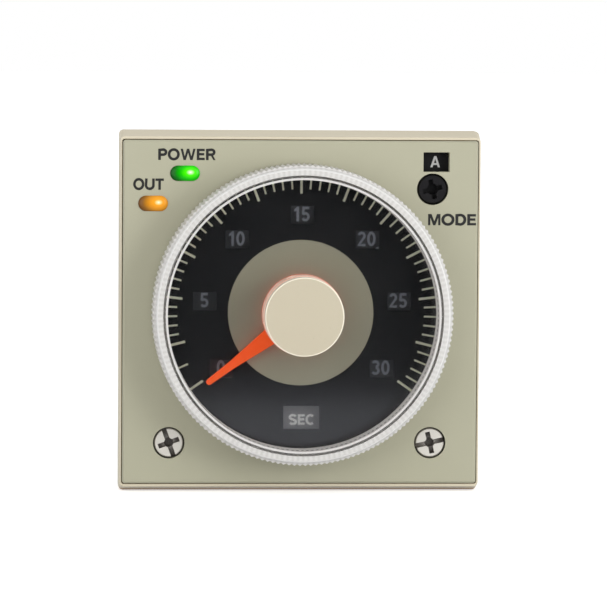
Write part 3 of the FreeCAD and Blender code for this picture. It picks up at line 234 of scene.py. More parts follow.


# In each moulded finish, here and in the cap's below, the third colour is the painted shade for seams,
# creases and slots, and the next number is how far it reaches in millimetres
finishes = {
    # Cream case: warm and matt, with a brown painted shade in the seam round the panel
    "cream_abs": moulded_abs("cream_abs_moulded", "#ddd4bc", "#d6ccb3", "#b0843e", 0.5, 0.5, 0.012),
    # Grey-green front panel: matt, with a low grain, almost even to the eye
    "grey_abs": moulded_abs("grey_green_abs_moulded", "#b6b49d", "#afad95", "#7a5c38", 0.15, 0.55, 0.010),
    # Ivory selectors: smoother, because a screwdriver polishes them, with dark painted shade deep in the
    # slots
    "ivory_abs": moulded_abs("ivory_abs_moulded", "#e2dfd8", "#d8d4ca", "#43372a", 1.3, 0.38, 0.006),
    # Black mode selector and its disc: dark enough that only the highlights show its shape
    "black_abs": moulded_abs(
        "black_abs_moulded", "#1a191b", "#151416", "#0a0a0a", 1.0, 0.36, 0.008, shine=0.25
    ),
    # Charcoal numeral ring, a shade lighter than the scale in front of it
    "charcoal_abs": moulded_abs("charcoal_abs_moulded", "#4b4d55", "#44464d", "#2a2b2f", 0.4, 0.6, 0.008),
    # Slate unit ring, lighter again, so that the unit stands out from the numerals
    "slate_abs": moulded_abs("slate_abs_moulded", "#acabb1", "#a4a3a9", "#6a6a6d", 0.3, 0.6, 0.008),
    # White chassis and shaft inside the case
    "white_abs": moulded_abs("white_abs_moulded", "#d9d9d4", "#cfcfc9", "#8a8984", 0.5, 0.5, 0.010),
    # Orange pointer under the clear dial, with a glow of painted light that makes it brighter than what lies
    # round it
    "orange_abs": moulded_abs(
        "orange_abs_painted_glow", "#fb5a08", "#f44e04", "#f04a08", 0.02, 0.4, 0.006, glow=0.45
    ),
}
# The cap is moulded apart from the case: a shade deeper, and smoother, so its rounded edge catches light
cap_abs = moulded_abs("cream_abs_moulded_smooth", "#cfc6af", "#c9bfa8", "#a87c40", 0.3, 0.3, 0.006)
# The cap's edge is smoother, and painted near-white as a highlight, so it draws a bright line
cap_edge_highlight_abs = moulded_abs("cream_abs_painted_edge_highlight", "#fdf6e4", "#f8f0dc", "#a87c40", 0.05, 0.2, 0.002)
print("moulded plastics:", sorted(finishes))

# %% [markdown]
# ## The other finishes of the solids
#
# The scale is a black printed film. The base is phenolic with a mottled, slightly brown black. The pins are
# nickel-plated brass: a metal, so its colour is that of its reflection. The boards are green glass laminate,
# whose weave shows through the lacquer. Inside parts that nobody sees still get the finish of their kind,
# because the part may be opened in another scene.

# %% Film, phenolic, metal and laminate
FILM_WAVE = 5.0
FILM_SHEEN = (0.4, 0.5)
FILM_SHINE = 0.2
FLECK_SIZE = 0.9
FLECK_HEIGHT = 0.01
PHENOLIC_SHEEN = 0.08
PHENOLIC_INDEX = 1.6
DRAWN_LINE = 0.25
DRAWN_STRETCH = (1.0, 0.08, 1.0)
METAL_SHEEN = 0.07
WEAVE_SIZE = 0.6
WAVES_PER_UNIT = 20
BOARD_ROUGHNESS = 0.35
LACQUER = {"Coat Weight": 0.3, "Coat Roughness": 0.2}


def printed_film(name):
    """Black film with a matt ink, which mirrors very little: its gloss has a long soft waviness."""
    material, place = start_material(name)
    wave = noise(material, place, FILM_WAVE)
    tone = blend(material, wave, "#141519", "#191a1e")
    return surface(material, tone, spread(material, wave, *FILM_SHEEN), {"Specular IOR Level": FILM_SHINE})


def phenolic(name, colour, mottle_colour, roughness):
    """Pressed phenolic: wood-flour filler leaves small darker and lighter flecks under a satin skin."""
    material, place = start_material(name)
    fleck = noise(material, place, FLECK_SIZE, detail=5.0, Roughness=0.7)
    tone = blend(material, fleck, colour, mottle_colour)
    sheen = spread(material, fleck, roughness - PHENOLIC_SHEEN, roughness + PHENOLIC_SHEEN)
    bump = add_node(material, "Bump", {"Height": fleck, "Distance": FLECK_HEIGHT * MM}).outputs["Normal"]
    return surface(material, tone, sheen, {"Normal": bump, "IOR": PHENOLIC_INDEX})


def plated_metal(name, colour, worn_colour, roughness):
    """Plated or rolled metal: faint drawing lines along the pins, a little duller where it is handled."""
    material, place = start_material(name)
    stretched = add_node(material, "Mapping", {"Vector": place, "Scale": DRAWN_STRETCH}).outputs["Vector"]
    lines = noise(material, stretched, DRAWN_LINE, detail=3.0)
    tone = blend(material, lines, colour, worn_colour)
    sheen = spread(material, lines, roughness - METAL_SHEEN, roughness + METAL_SHEEN)
    return surface(material, tone, sheen, {"Metallic": 1.0})


def glass_laminate(name):
    """Green board: a plain weave of 0.6 mm bundles under lacquer, as the product of two crossed waves."""
    material, place = start_material(name)
    thread = {"Vector": place, "Scale": per_size(WEAVE_SIZE) / WAVES_PER_UNIT, "Distortion": 1.0}
    waves = [add_node(material, "TexWave", thread, bands_direction=way).outputs["Fac"] for way in "ZX"]
    tone = blend(material, calculate(material, "MULTIPLY", *waves), "#2c6a3c", "#3d7d4b")
    return surface(material, tone, BOARD_ROUGHNESS, LACQUER)


pressed = {
    "black_phenolic": ("black_phenolic_pressed", "#22201e", "#2d2a27", 0.42),
    "dark_phenolic": ("dark_phenolic_pressed", "#2b2b2b", "#343332", 0.5),
    "brown_phenolic": ("brown_phenolic_paper_pressed", "#8a6038", "#75502d", 0.5),
    "yellow_epoxy": ("yellow_epoxy_dipped", "#d8a53a", "#cf9a2f", 0.3),
    "blue_epoxy": ("blue_epoxy_dipped", "#3c66a8", "#345b99", 0.3),
    "can_sleeve": ("dark_blue_sleeve_shrunk", "#2f3550", "#292e47", 0.28),
    "clear_epoxy": ("milky_epoxy_cast", "#e3e3df", "#d8d8d3", 0.2),
}
finishes["black_film"] = printed_film("black_scale_film_printed")
finishes.update({slot: phenolic(*row) for slot, row in pressed.items()})
finishes["nickel_brass"] = plated_metal("nickel_plated_brass_drawn", "#d6d0c2", "#c2bbab", 0.24)
finishes["bronze"] = plated_metal("spring_bronze_rolled", "#c8996a", "#b58758", 0.3)
finishes["green_laminate"] = glass_laminate("green_glass_laminate_lacquered")
print("all finishes so far:", len(finishes))

# %% [markdown]
# ## Clear dial and lamp lenses
#
# The dial is clear acrylic. Its flat web is polished, so it only adds a faint reflection, while the knurled
# rim bends light so much that it looks almost white: the rim's colour is painted near-white for that light,
# with stripes of painted shade along the knurl. Both come from a transmitting shader with the refractive
# index of acrylic; the rim's mould is blasted, so it is rougher and milky.
# The lamps are tinted acrylic with a light behind them, which comes from the right of each lens's middle, so
# the glow is strongest there and falls off towards the ends.

# %% Clear and tinted acrylic
ACRYLIC_INDEX = 1.49
HAZE_SIZE = 1.5
HAZE_SHARES = (0.5, 1.5)
KNURLS = 172
HIGHLIGHT_RADIUS = 19.25
HIGHLIGHT_HALF = 0.1
RIM_ROUGHNESS = 0.4
RIM_CLEARNESS = 0.15


def clear_acrylic(name, tint, roughness, clearness, glow=0.0):
    """Transmitting acrylic of index 1.49; what is not clear scatters its tint, as a blasted mould makes it.

    The glow is painted light, standing in for the light that clear plastic carries inside it and lets out at
    its edges.
    """
    material, place = start_material(name)
    haze = noise(material, place, HAZE_SIZE)
    sheen = spread(material, haze, roughness * HAZE_SHARES[0], roughness * HAZE_SHARES[1])
    return surface(material, tint, sheen, {"IOR": ACRYLIC_INDEX, "Transmission Weight": clearness}, glow)


def ribbed_acrylic(name, ridge_light_tone, groove_shade_tone, highlight_tone):
    """Blasted acrylic of the rim: nearly white, in fine stripes of painted shade and light that follow the
    knurl round the axis.

    The stripe is (1 - cos(172 a)) / 2, where a is the angle of the place about the dial's axis: darker in the
    grooves, lighter on the ridges. At the edge of the rim's top a narrow circle is a painted highlight.
    """
    material, place = start_material(name)
    axes = add_node(material, "SeparateXYZ", {0: place})
    angle = calculate(material, "ARCTAN2", axes.outputs["X"], axes.outputs["Z"])
    wave = calculate(material, "COSINE", calculate(material, "MULTIPLY", angle, float(KNURLS)))
    # Painted shade in the knurl's grooves and painted light on its ridges
    tone = blend(material, spread(material, wave, start=1.0, end=-1.0), groove_shade_tone, ridge_light_tone)
    across = add_node(material, "VectorMath", {0: place, 1: (1.0, 0.0, 1.0)}, operation="MULTIPLY")
    out = add_node(material, "VectorMath", {0: across.outputs["Vector"]}, operation="LENGTH")
    edge = calculate(material, "COMPARE", out.outputs["Value"], HIGHLIGHT_RADIUS * MM, HIGHLIGHT_HALF * MM)
    # Painted highlight: a near-white circle round the edge of the rim's top
    polished = blend(material, edge, tone, highlight_tone)
    more = {"IOR": ACRYLIC_INDEX, "Transmission Weight": RIM_CLEARNESS}
    return surface(material, polished, RIM_ROUGHNESS, more)


finishes["clear_acrylic"] = clear_acrylic("clear_acrylic_polished", "#fbfbfa", 0.1, 1.0)
# The tones are the painted light on the ridges, the painted shade in the grooves and the painted highlight
rim_acrylic = ribbed_acrylic("clear_acrylic_blasted_rim", "#e9e7e4", "#dcdad6", "#fbfaf8")
# Painted image of the knurl seen through the rim: dark dashes on the band of the inner wall
band_painted_knurl_image = ribbed_acrylic("clear_acrylic_painted_knurl_image", "#e6e4e0", "#5c5a62", "#fbfaf8")
# The lip and the boss glow with painted light, and the boss's salmon tint is painted for the orange pointer
# seen through it
lip_acrylic_painted_glow = clear_acrylic("clear_acrylic_satin_lip", "#d8d6d3", 0.4, 0.1, glow=0.1)
boss_painted_salmon_glow = clear_acrylic("clear_acrylic_satin_boss", "#efc6b4", 0.25, 0.12, glow=0.25)

LENS_GLOW_REACH = 2.6
LENS_GLOW = 0.25
LENS_ROUGHNESS, LENS_SHINE = 0.2, 0.2
RISE_COUNTS = 1.5
GLOW_STOPS = (0.0, 0.1, 0.22, 0.5, 0.8, 1.0)
HOT_SPOT = (0.72, 0.14)
POWER_LENS_PLACE = (-15.4, 18.4)
OUTPUT_LENS_PLACE = (-19.6, 14.4)


def lamp_lens(name, tones, hot_place):
    """Lit lens: the tone follows the distance from the hot spot, from white at the lamp to deep at the ends.

    The lens is wider than it is tall, so heights count for more: the distance is that of (x, 0, 1.5 z).
    """
    material, place = start_material(name)
    across, rise = hot_place * MM
    shifted = {
        "Vector": place,
        "Location": (-across, 0.0, -rise * RISE_COUNTS),
        "Scale": (1.0, 0.0, RISE_COUNTS),
    }
    centred = add_node(material, "Mapping", shifted).outputs["Vector"]
    away = add_node(material, "VectorMath", {0: centred}, operation="LENGTH").outputs["Value"]
    ramp = add_node(material, "ValToRGB", {"Fac": spread(material, away, end=LENS_GLOW_REACH * MM)})
    stops = ramp.color_ramp.elements
    for position in GLOW_STOPS[2:]:
        stops.new(position)
    for stop, position, tone in zip(stops, GLOW_STOPS, tones):
        stop.position = position
        stop.color = paint(tone)
    more = {"IOR": ACRYLIC_INDEX, "Specular IOR Level": LENS_SHINE}
    return surface(material, ramp.outputs["Color"], LENS_ROUGHNESS, more, LENS_GLOW)


finishes["green_lens"] = lamp_lens(
    "green_acrylic_lit",
    ("#f4fff0", "#b8ff9c", "#48f008", "#12b804", "#046a0a", "#024206"),
    np.add(POWER_LENS_PLACE, HOT_SPOT),
)
finishes["orange_lens"] = lamp_lens(
    "orange_acrylic_lit",
    ("#fff4e0", "#ffd890", "#f0a028", "#d08820", "#82561e", "#5e3c18"),
    np.add(OUTPUT_LENS_PLACE, HOT_SPOT),
)
print("clear and tinted acrylic ready")

# %% [markdown]
# ## Dress the solids
#
# The record says which finish each node has, so the finishes are dealt out from it. The shapes stay.

# %% Give each node its finish
for row in frame["record"]["subparts"]:
    node = frame["nodes"][row["node"]]
    node.data.materials.clear()
    node.data.materials.append(finishes[row["material_slot"]])

# %% [markdown]
# ## Surfaces from arrays
#
# The new pieces are surfaces over two parameters. A turned piece is a profile carried round the dial's
# axis, so its points fill a grid: one row for each station of the profile, one column for each angle. The
# grid is worked out as one array and put into a mesh. Where the profile ends on the axis, the whole row is
# one point, a pole.

# %% Surface helpers
CURVE_SHARE = 0.42
SUPPORT_RUN = 0.03
SUPPORT_SHARE = 0.06
SAME_STATION = 1e-6
SAME_POINT = 1e-7


def soft_profile(corners, softness, steps):
    """A line of (radius, depth) corners, each corner replaced by a quadratic curve.

    The curve starts one softness before the corner and ends one softness after it:
    (1 - k)^2 start + 2 k (1 - k) corner + k^2 end, for k from 0 to 1. A support point stands just before
    its start and just after its end, so that the shading of the flat runs between corners stays flat.
    """
    points = np.array(corners, float)
    before = np.roll(points, 1, axis=0) - points
    after = np.roll(points, -1, axis=0) - points
    before[0] = after[0]
    after[-1] = before[-1]
    reach = np.array(softness, float)[:, None]
    reach[[0, -1]] = 0.0
    hold = np.where(reach > 0, SUPPORT_RUN, 0.0)
    ends = []
    for way in (before, after):
        long = np.linalg.norm(way, axis=1, keepdims=True)
        run = np.minimum(reach, CURVE_SHARE * long)
        support = run + np.minimum(hold, SUPPORT_SHARE * long)
        ends += [points + way / long * run, points + way / long * support]
    start, lead, end, tail = ends
    k = np.linspace(0, 1, steps)[None, :, None]
    curve = (1 - k) ** 2 * start[:, None] + 2 * k * (1 - k) * points[:, None] + k ** 2 * end[:, None]
    line = np.concatenate([lead[:, None], curve, tail[:, None]], axis=1).reshape(-1, 2)
    fresh = np.r_[True, np.linalg.norm(np.diff(line, axis=0), axis=1) > SAME_STATION]
    return line[fresh]


def full_turn(count):
    """Evenly spaced angles of one full turn."""
    return np.arange(count) * 2 * np.pi / count


def turned(radius, depth, angle):
    """Grid of points turned about the Y axis: x = r sin(a), y = depth, z = r cos(a), in millimetres."""
    wide, y, around = np.broadcast_arrays(radius, depth, angle[None, :])
    return np.stack([wide * np.sin(around), y, wide * np.cos(around)], axis=-1)


def grid_faces(rows, columns):
    """Four-sided faces of a grid whose columns close into a ring, as rows of four vertex numbers."""
    row = np.arange(rows - 1)[:, None] * columns
    column = np.arange(columns)
    following = (column + 1) % columns
    quads = [row + column, row + following, row + columns + following, row + columns + column]
    return np.stack(quads, axis=-1).reshape(-1, 4)


def mesh_piece(name, points, faces, material):
    """A piece with one finish, from points in millimetres and faces."""
    mesh = bpy.data.meshes.new(name)
    mesh.from_pydata((points * MM).tolist(), [], faces)
    mesh.materials.append(material)
    return add_object(name, mesh)


def weld(mesh):
    """Merges the points of each pole into one and drops the faces that had no area."""
    work = bmesh.new()
    work.from_mesh(mesh)
    bmesh.ops.remove_doubles(work, verts=work.verts, dist=SAME_POINT)
    work.to_mesh(mesh)
    work.free()


def ring_mesh(name, points, material, sharp_degrees):
    """A smooth piece from a grid of points closed round its columns, with a pole at each row of no size.

    The faces are turned outwards if the volume they enclose, the sum of a . (b x c) / 6, is negative.
    """
    vertices = points.reshape(-1, 3)
    faces = grid_faces(*points.shape[:2])
    corner = vertices[faces]
    fan = np.einsum("ij,ij->i", corner[:, 0], np.cross(corner[:, 1], corner[:, 2]))
    fan = fan + np.einsum("ij,ij->i", corner[:, 0], np.cross(corner[:, 2], corner[:, 3]))
    if fan.sum() < 0:
        faces = faces[:, ::-1]
    piece = mesh_piece(name, vertices, faces.tolist(), material)
    weld(piece.data)
    piece.data.shade_smooth()
    piece.data.set_sharp_from_angle(angle=math.radians(sharp_degrees))
    return piece


def face_places(mesh):
    """Distance from the dial's axis and height above the panel of all face centres, in millimetres."""
    centres = np.empty(len(mesh.polygons) * 3)
    mesh.polygons.foreach_get("center", centres)
    x, y, z = centres.reshape(-1, 3).T / MM
    return np.hypot(x, z), FRONT_Y - y


def deal_finishes(mesh, numbers, others):
    """Adds the other finishes to the mesh and gives each face the finish of its number."""
    for material in others:
        mesh.materials.append(material)
    mesh.polygons.foreach_set("material_index", numbers.astype(np.int32))


print("surface helpers ready")

# %% [markdown]
# ## The clear dial
#
# On the real timer this is one clear moulding: a dished web over the scale, a thick rim with a fine knurl
# of 172 ridges, and a boss for the cap. It could be cut with booleans, but a knurl is simply a turned wall
# whose radius goes up and down with the angle. So the dial is one turned surface, and a triangle wave with
# 172 periods is taken off the radius on the rows of the knurled wall. The same wave cuts fine ribs into the
# flat top of the rim. The rim is blasted, its inner lip and the boss are satin, and the groove and the web
# are polished. The rim carries painted shade and light in stripes along the knurl, and a painted highlight
# round the edge of its top. On the inner wall of the rim the knurl outside shows through as a dashed line,
# which is painted there on a narrow band as dark and light stripes.

# %% Setting dial
KNURL_DEPTH = 0.21
RIB_DEPTH = 0.05
STEPS_PER_KNURL = 4
DIAL_OUTER = 19.83
KNURLED_FROM = 19.55
HUB_BORE, HUB_OUTER, HUB_END = 2.0, 3.4, 2.2
WEB_REAR = -1.28
WEB_FRONT = -3.5
RIM_STEP, RIM_REAR = 18.2, -0.4
KNURL_FRONT = -6.5
RIM_TOP = -7.3
RIB_MIDDLE, RIB_HALF, RIB_FLOOR = 18.83, 0.34, -7.2
GROOVE_OUTER = 18.47
GROOVE_FLOOR = -7.22
LIP_OUTER = 18.12
LIP_MIDDLE, LIP_HALF = 17.95, 0.19
BAND_TOP = 6.3
BAND_FOOT = 5.6
BOSS, BOSS_TOP = 5.3, -7.2
BOSS_MIDDLE, BOSS_HALF = 5.0, 0.62
POST, POST_TOP = 4.4, -8.2
FROSTED_REAR, FROSTED_HIGH = 18.05, 1.3
RIM_FROM = 18.45
ABOVE_WEB = 3.55
WEB_FINISH, RIM_FINISH, BOSS_FINISH, LIP_FINISH, BAND_FINISH = range(5)
dial_corners = [
    (0.0, WEB_FRONT), (HUB_BORE, WEB_FRONT), (HUB_BORE, HUB_END), (HUB_OUTER, HUB_END), (HUB_OUTER, WEB_REAR),
    (FROSTED_REAR, WEB_REAR), (RIM_STEP, WEB_REAR), (RIM_STEP, RIM_REAR), (DIAL_OUTER, RIM_REAR),
    (DIAL_OUTER, KNURL_FRONT), (19.5, -6.55), (19.27, -7.16), (19.17, RIM_TOP), (18.8, RIM_TOP),
    (GROOVE_OUTER, RIM_TOP), (18.43, GROOVE_FLOOR), (18.16, GROOVE_FLOOR), (LIP_OUTER, RIM_TOP),
    (17.85, RIM_TOP), (17.837, -BAND_TOP), (17.828, -BAND_FOOT), (17.8, WEB_FRONT), (BOSS, WEB_FRONT),
    (BOSS, BOSS_TOP), (POST, BOSS_TOP), (POST, POST_TOP), (0.0, POST_TOP),
]
dial_softness = [
    0, 0.1, 0.1, 0.2, 0.2, 0.0, 0.1, 0.1, 0.08, 0.08, 0.05, 0.06, 0.05, 0.1,
    0.02, 0.02, 0.02, 0.02, 0.06, 0.0, 0.0, 0.05, 0.03, 0.1, 0.1, 0.2, 0,
]
dial_profile = soft_profile(dial_corners, dial_softness, steps=3)
station, level = dial_profile[:, :1], dial_profile[:, 1:]
dial_angle = full_turn(KNURLS * STEPS_PER_KNURL)
valley = np.abs((dial_angle * KNURLS / np.pi) % 2 - 1)
wall_rows = station > KNURLED_FROM
rib_rows = (np.abs(station - RIB_MIDDLE) < RIB_HALF) & (level < RIB_FLOOR)
dial_radius = station - KNURL_DEPTH * wall_rows * valley
dial_depth = FRONT_Y + level + RIB_DEPTH * rib_rows * valley
dial_points = turned(dial_radius, dial_depth, dial_angle)
dial = ring_mesh("clear_dial", dial_points, finishes["clear_acrylic"], sharp_degrees=75.0)
reach, height = face_places(dial.data)
on_rim = (reach > RIM_FROM) | ((reach > FROSTED_REAR) & (height < FROSTED_HIGH))
on_lip = (np.abs(reach - LIP_MIDDLE) < LIP_HALF) & (height > ABOVE_WEB)
on_boss = (np.abs(reach - BOSS_MIDDLE) < BOSS_HALF) & (height > ABOVE_WEB)
on_band = on_lip & (height > BAND_FOOT) & (height < BAND_TOP)
chosen = [RIM_FINISH, BOSS_FINISH, BAND_FINISH, LIP_FINISH]
finish_number = np.select([on_rim, on_boss, on_band, on_lip], chosen, WEB_FINISH)
deal_finishes(dial.data, finish_number, [rim_acrylic, boss_painted_salmon_glow, lip_acrylic_painted_glow, band_painted_knurl_image])
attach(dial, "dial")
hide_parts("setting_dial")
print("clear dial:", len(dial.data.polygons), "faces")

# %% [markdown]
# ## The knob cap
#
# A cream lid on top of the clear boss. Its edge is rounded and smoother, and painted near-white as a
# highlight, so it draws a thin bright line; its top is slightly dished, as thick mouldings shrink in the
# middle.

# %% Knob cap
CAP_RADIUS, CAP_TOP = 5.21, -9.0
CAP_EDGE, CAP_FOOT = 5.06, 8.7
CAP_SIDES = 192
cap_corners = [
    (0.0, POST_TOP), (POST, POST_TOP), (POST, BOSS_TOP), (CAP_RADIUS, BOSS_TOP), (CAP_RADIUS, CAP_TOP),
    (4.2, -8.97), (0.0, -8.95),
]
cap_softness = [0, 0.1, 0.05, 0.12, 0.16, 0.6, 0]
cap_profile = soft_profile(cap_corners, cap_softness, steps=9)
cap_points = turned(cap_profile[:, :1], cap_profile[:, 1:] + FRONT_Y, full_turn(CAP_SIDES))
cap = ring_mesh("cream_cap", cap_points, cap_abs, sharp_degrees=40.0)
reach, height = face_places(cap.data)
# The faces of the rounded top edge get the painted highlight
deal_finishes(cap.data, (reach > CAP_EDGE) & (height > CAP_FOOT), [cap_edge_highlight_abs])
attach(cap, "dial")
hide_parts("knob_cap")
print("cream cap:", len(cap.data.polygons), "faces")

# %% [markdown]
# ## The two lamp lenses
#
# Each lens is a domed obround window with a flange behind the panel and a round light pipe down to its lamp.
# It could be joined from four solids. Here it is one surface: an outline that changes from row to row, with
# a half height, a half length of its straight part, a shift to the side and a depth. On the dome the outline
# shrinks by f, from 1 at the edge to 0 in the middle, while it rises by the height times sqrt(1 - f^2), as on
# an ellipse.

# %% Lamp lenses
LENS_TALL, LENS_LONG = 2.05, 3.93
LENS_HALF_TALL = LENS_TALL / 2
LENS_HALF_LINE = (LENS_LONG - LENS_TALL) / 2
LENS_DOME_FOOT = 0.02
LENS_DOME_RISE = 0.33
LENS_SIDES = 96
DOME_ROWS = 14
DOME_LINE_LEFT = 0.55
END_STEEPNESS = 40
FLANGE_WIDE, FLANGE_FRONT, FLANGE_REAR = 0.45, 1.7, 2.4
PIPE_RADIUS, PIPE_END = 0.95, 5.3
POWER_SHIFT = 0.0
OUTPUT_SHIFT = 0.7


def lamp_lens_piece(name, place, shift, material):
    """Rows of obrounds: x = place + shift + line c + tall cos(a), z = place + tall sin(a).

    c is cos(a) made steep: 1 on the right end of the obround and -1 on the left end.
    """
    angle = full_turn(LENS_SIDES)
    f = np.sin(np.linspace(np.pi / 2, 0.0, DOME_ROWS))
    dome_line = LENS_HALF_LINE * (DOME_LINE_LEFT + (1 - DOME_LINE_LEFT) * f)
    dome_depth = -LENS_DOME_FOOT - LENS_DOME_RISE * np.sqrt(1 - f ** 2)
    flange = LENS_HALF_TALL + FLANGE_WIDE
    tall = np.r_[0, PIPE_RADIUS, PIPE_RADIUS, flange, flange, LENS_HALF_TALL, LENS_HALF_TALL * f]
    line = np.r_[np.zeros(3), np.full(3, LENS_HALF_LINE), dome_line]
    aside = np.r_[np.full(3, shift), np.zeros(3 + DOME_ROWS)]
    depth = np.r_[PIPE_END, PIPE_END, FLANGE_REAR, FLANGE_REAR, FLANGE_FRONT, FLANGE_FRONT, dome_depth]
    steep = np.clip(np.cos(angle) * END_STEEPNESS, -1, 1)
    x = place[0] + aside[:, None] + line[:, None] * steep + tall[:, None] * np.cos(angle)
    z = place[1] + tall[:, None] * np.sin(angle)
    y = np.broadcast_to(FRONT_Y + depth[:, None], x.shape)
    return ring_mesh(name, np.stack([x, y, z], axis=-1), material, sharp_degrees=50.0)


for name, node, place, shift, slot in (
    ("power_lens_domed", "power_lens", POWER_LENS_PLACE, POWER_SHIFT, "green_lens"),
    ("output_lens_domed", "output_lens", OUTPUT_LENS_PLACE, OUTPUT_SHIFT, "orange_lens"),
):
    lens = lamp_lens_piece(name, place, shift, finishes[slot])
    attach(lens, "case")
    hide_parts(node)
    print(name, len(lens.data.polygons), "faces")

# %% [markdown]
# ## Printing
#
# Words, numerals and units are pad-printed in a plain sans letter. A text object could give the outlines,
# but its letters are narrower and rounder than the printed ones. So the letters are drawn here: a round
# letter is a stroke of even weight carried along a path, and a straight one is a filled outline. All are
# drawn one unit tall and set as arrays, a hundredth of a millimetre in front of what carries them.

# %% Strokes and outlines
WEIGHT = 0.235
NUMERAL_WEIGHT = 0.17
HALF = WEIGHT / 2
ARM = 0.9 * WEIGHT
MITRE_LIMIT = 1.6
NO_LENGTH = 1e-9
LEAST_COSINE = 1e-3


def arc(across, rise, wide, tall, start, stop, count=13):
    """Points on an ellipse about a centre, from one angle to another in degrees."""
    angle = np.radians(np.linspace(start, stop, count))
    return np.column_stack([across + wide * np.cos(angle), rise + tall * np.sin(angle)])


def stroke(*runs, closed=False, weight=WEIGHT):
    """A band of even weight along a path: each path point p gives p + m n and p - m n.

    n is the mean normal of the two runs that meet at p, and m is half the weight divided by the cosine of
    half the turn, so that the band keeps its weight round a corner.
    """
    path = np.concatenate([np.atleast_2d(run) for run in runs])
    step = np.roll(path, -1, axis=0) - path
    step = step / np.maximum(np.linalg.norm(step, axis=1, keepdims=True), NO_LENGTH)
    before = np.roll(step, 1, axis=0)
    if not closed:
        step[-1] = before[-1]
        before[0] = step[0]
    normal = np.stack([-(before + step)[:, 1], (before + step)[:, 0]], axis=1)
    normal = normal / np.linalg.norm(normal, axis=1, keepdims=True)
    cosine = normal[:, 0] * -step[:, 1] + normal[:, 1] * step[:, 0]
    reach = weight / 2 * np.minimum(1 / np.maximum(cosine, LEAST_COSINE), MITRE_LIMIT)[:, None]
    count = len(path)
    first = np.arange(count if closed else count - 1)
    following = (first + 1) % count
    faces = np.column_stack([first, first + count, following + count, following])
    return np.concatenate([path + reach * normal, path - reach * normal]), faces


def outline(*loops):
    """A filled outline: the first loop is its edge, and each further loop is a hole in it."""
    shaped = [[Vector((x, y, 0.0)) for x, y in loop] for loop in loops]
    faces = np.array(tessellate_polygon(shaped))
    points = np.array([point for loop in loops for point in loop], float)
    a, b, c = points[faces[:, 0]], points[faces[:, 1]], points[faces[:, 2]]
    area = (b - a)[:, 0] * (c - a)[:, 1] - (b - a)[:, 1] * (c - a)[:, 0]
    return points, np.where(area[:, None] < 0, faces[:, ::-1], faces)


def bar(left, right, low, high):
    """A rectangle between two sides, a foot and a head."""
    return outline([(left, low), (right, low), (right, high), (left, high)])


def thin(*runs, closed=False):
    """A stroke of the lighter weight that the numerals have."""
    return stroke(*runs, closed=closed, weight=NUMERAL_WEIGHT)


print("strokes are", WEIGHT, "of the letter's height")

# %% [markdown]
# ### The alphabet
#
# Only the letters and numerals that the timer needs are drawn. Each entry has a width and its shapes, in
# units of the letter's height.

# %% Letters
TOP = 1 - HALF
stem = bar(0, WEIGHT, 0, 1)


def arm(right, middle):
    """A cross bar from the stem to the right, about a height."""
    return bar(WEIGHT, right, middle - ARM / 2, middle + ARM / 2)


letters = {
    "A": (0.9, [outline(
        [(0, 0), (0.35, 1), (0.55, 1), (0.9, 0), (0.69, 0), (0.62, 0.21), (0.28, 0.21), (0.21, 0)],
        [(0.33, 0.37), (0.57, 0.37), (0.45, 0.75)],
    )]),
    "B": (0.78, [stroke(
        (WEIGHT, 0.5), arc(0.45, 0.29, 0.245, 0.21, 90, -90), (HALF, HALF), (HALF, TOP),
        arc(0.43, 0.71, 0.235, 0.205, 90, -75),
    )]),
    "C": (0.9, [stroke(arc(0.47, 0.5, 0.385, 0.415, 48, 312, 25))]),
    "D": (0.84, [stroke((HALF, HALF), (HALF, TOP), arc(0.4, 0.5, 0.355, 0.415, 90, -90), closed=True)]),
    "E": (0.7, [stem, arm(0.69, 1 - ARM / 2), arm(0.65, 0.52), arm(0.7, ARM / 2)]),
    "F": (0.66, [stem, arm(0.66, 1 - ARM / 2), arm(0.6, 0.51)]),
    "H": (0.83, [stem, bar(0.83 - WEIGHT, 0.83, 0, 1), arm(0.83 - WEIGHT, 0.52)]),
    "I": (WEIGHT, [stem]),
    "M": (0.98, [outline([
        (0, 0), (0, 1), (0.27, 1), (0.49, 0.36), (0.71, 1), (0.98, 1), (0.98, 0), (0.8, 0), (0.8, 0.68),
        (0.58, 0), (0.4, 0), (0.18, 0.68), (0.18, 0),
    ])]),
    "N": (0.83, [outline([
        (0, 0), (0, 1), (0.2, 1), (0.65, 0.31), (0.65, 1), (0.83, 1), (0.83, 0), (0.63, 0), (0.18, 0.69),
        (0.18, 0),
    ])]),
    "O": (0.98, [stroke(arc(0.49, 0.5, 0.405, 0.425, 0, 350, 36), closed=True)]),
    "P": (0.76, [stroke((HALF, 0), (HALF, TOP), arc(0.44, 0.69, 0.235, 0.225, 90, -90), (WEIGHT, 0.465))]),
    "R": (0.84, [
        stroke((HALF, 0), (HALF, TOP), arc(0.48, 0.7, 0.235, 0.215, 90, -90), (WEIGHT, 0.485)),
        outline([(0.42, 0.4), (0.62, 0.4), (0.84, 0), (0.64, 0)]),
    ]),
    "S": (0.8, [stroke(
        arc(0.4, 0.725, 0.315, 0.19, 25, 245, 15), arc(0.4, 0.275, 0.315, 0.19, 65, -155, 15),
    )]),
    "T": (0.78, [bar(0, 0.78, 1 - ARM, 1), bar(0.39 - HALF, 0.39 + HALF, 0, 1 - ARM)]),
    "U": (0.86, [stroke((HALF, 1), arc(0.43, 0.4, 0.345, 0.315, 180, 360, 17), (0.775, 1))]),
    "W": (1.3, [outline([
        (0, 1), (0.2, 1), (0.365, 0.33), (0.55, 1), (0.75, 1), (0.935, 0.33), (1.1, 1), (1.3, 1), (1.045, 0),
        (0.84, 0), (0.65, 0.66), (0.46, 0), (0.255, 0),
    ])]),
}
FOOT = NUMERAL_WEIGHT / 2
HEAD = 1 - FOOT
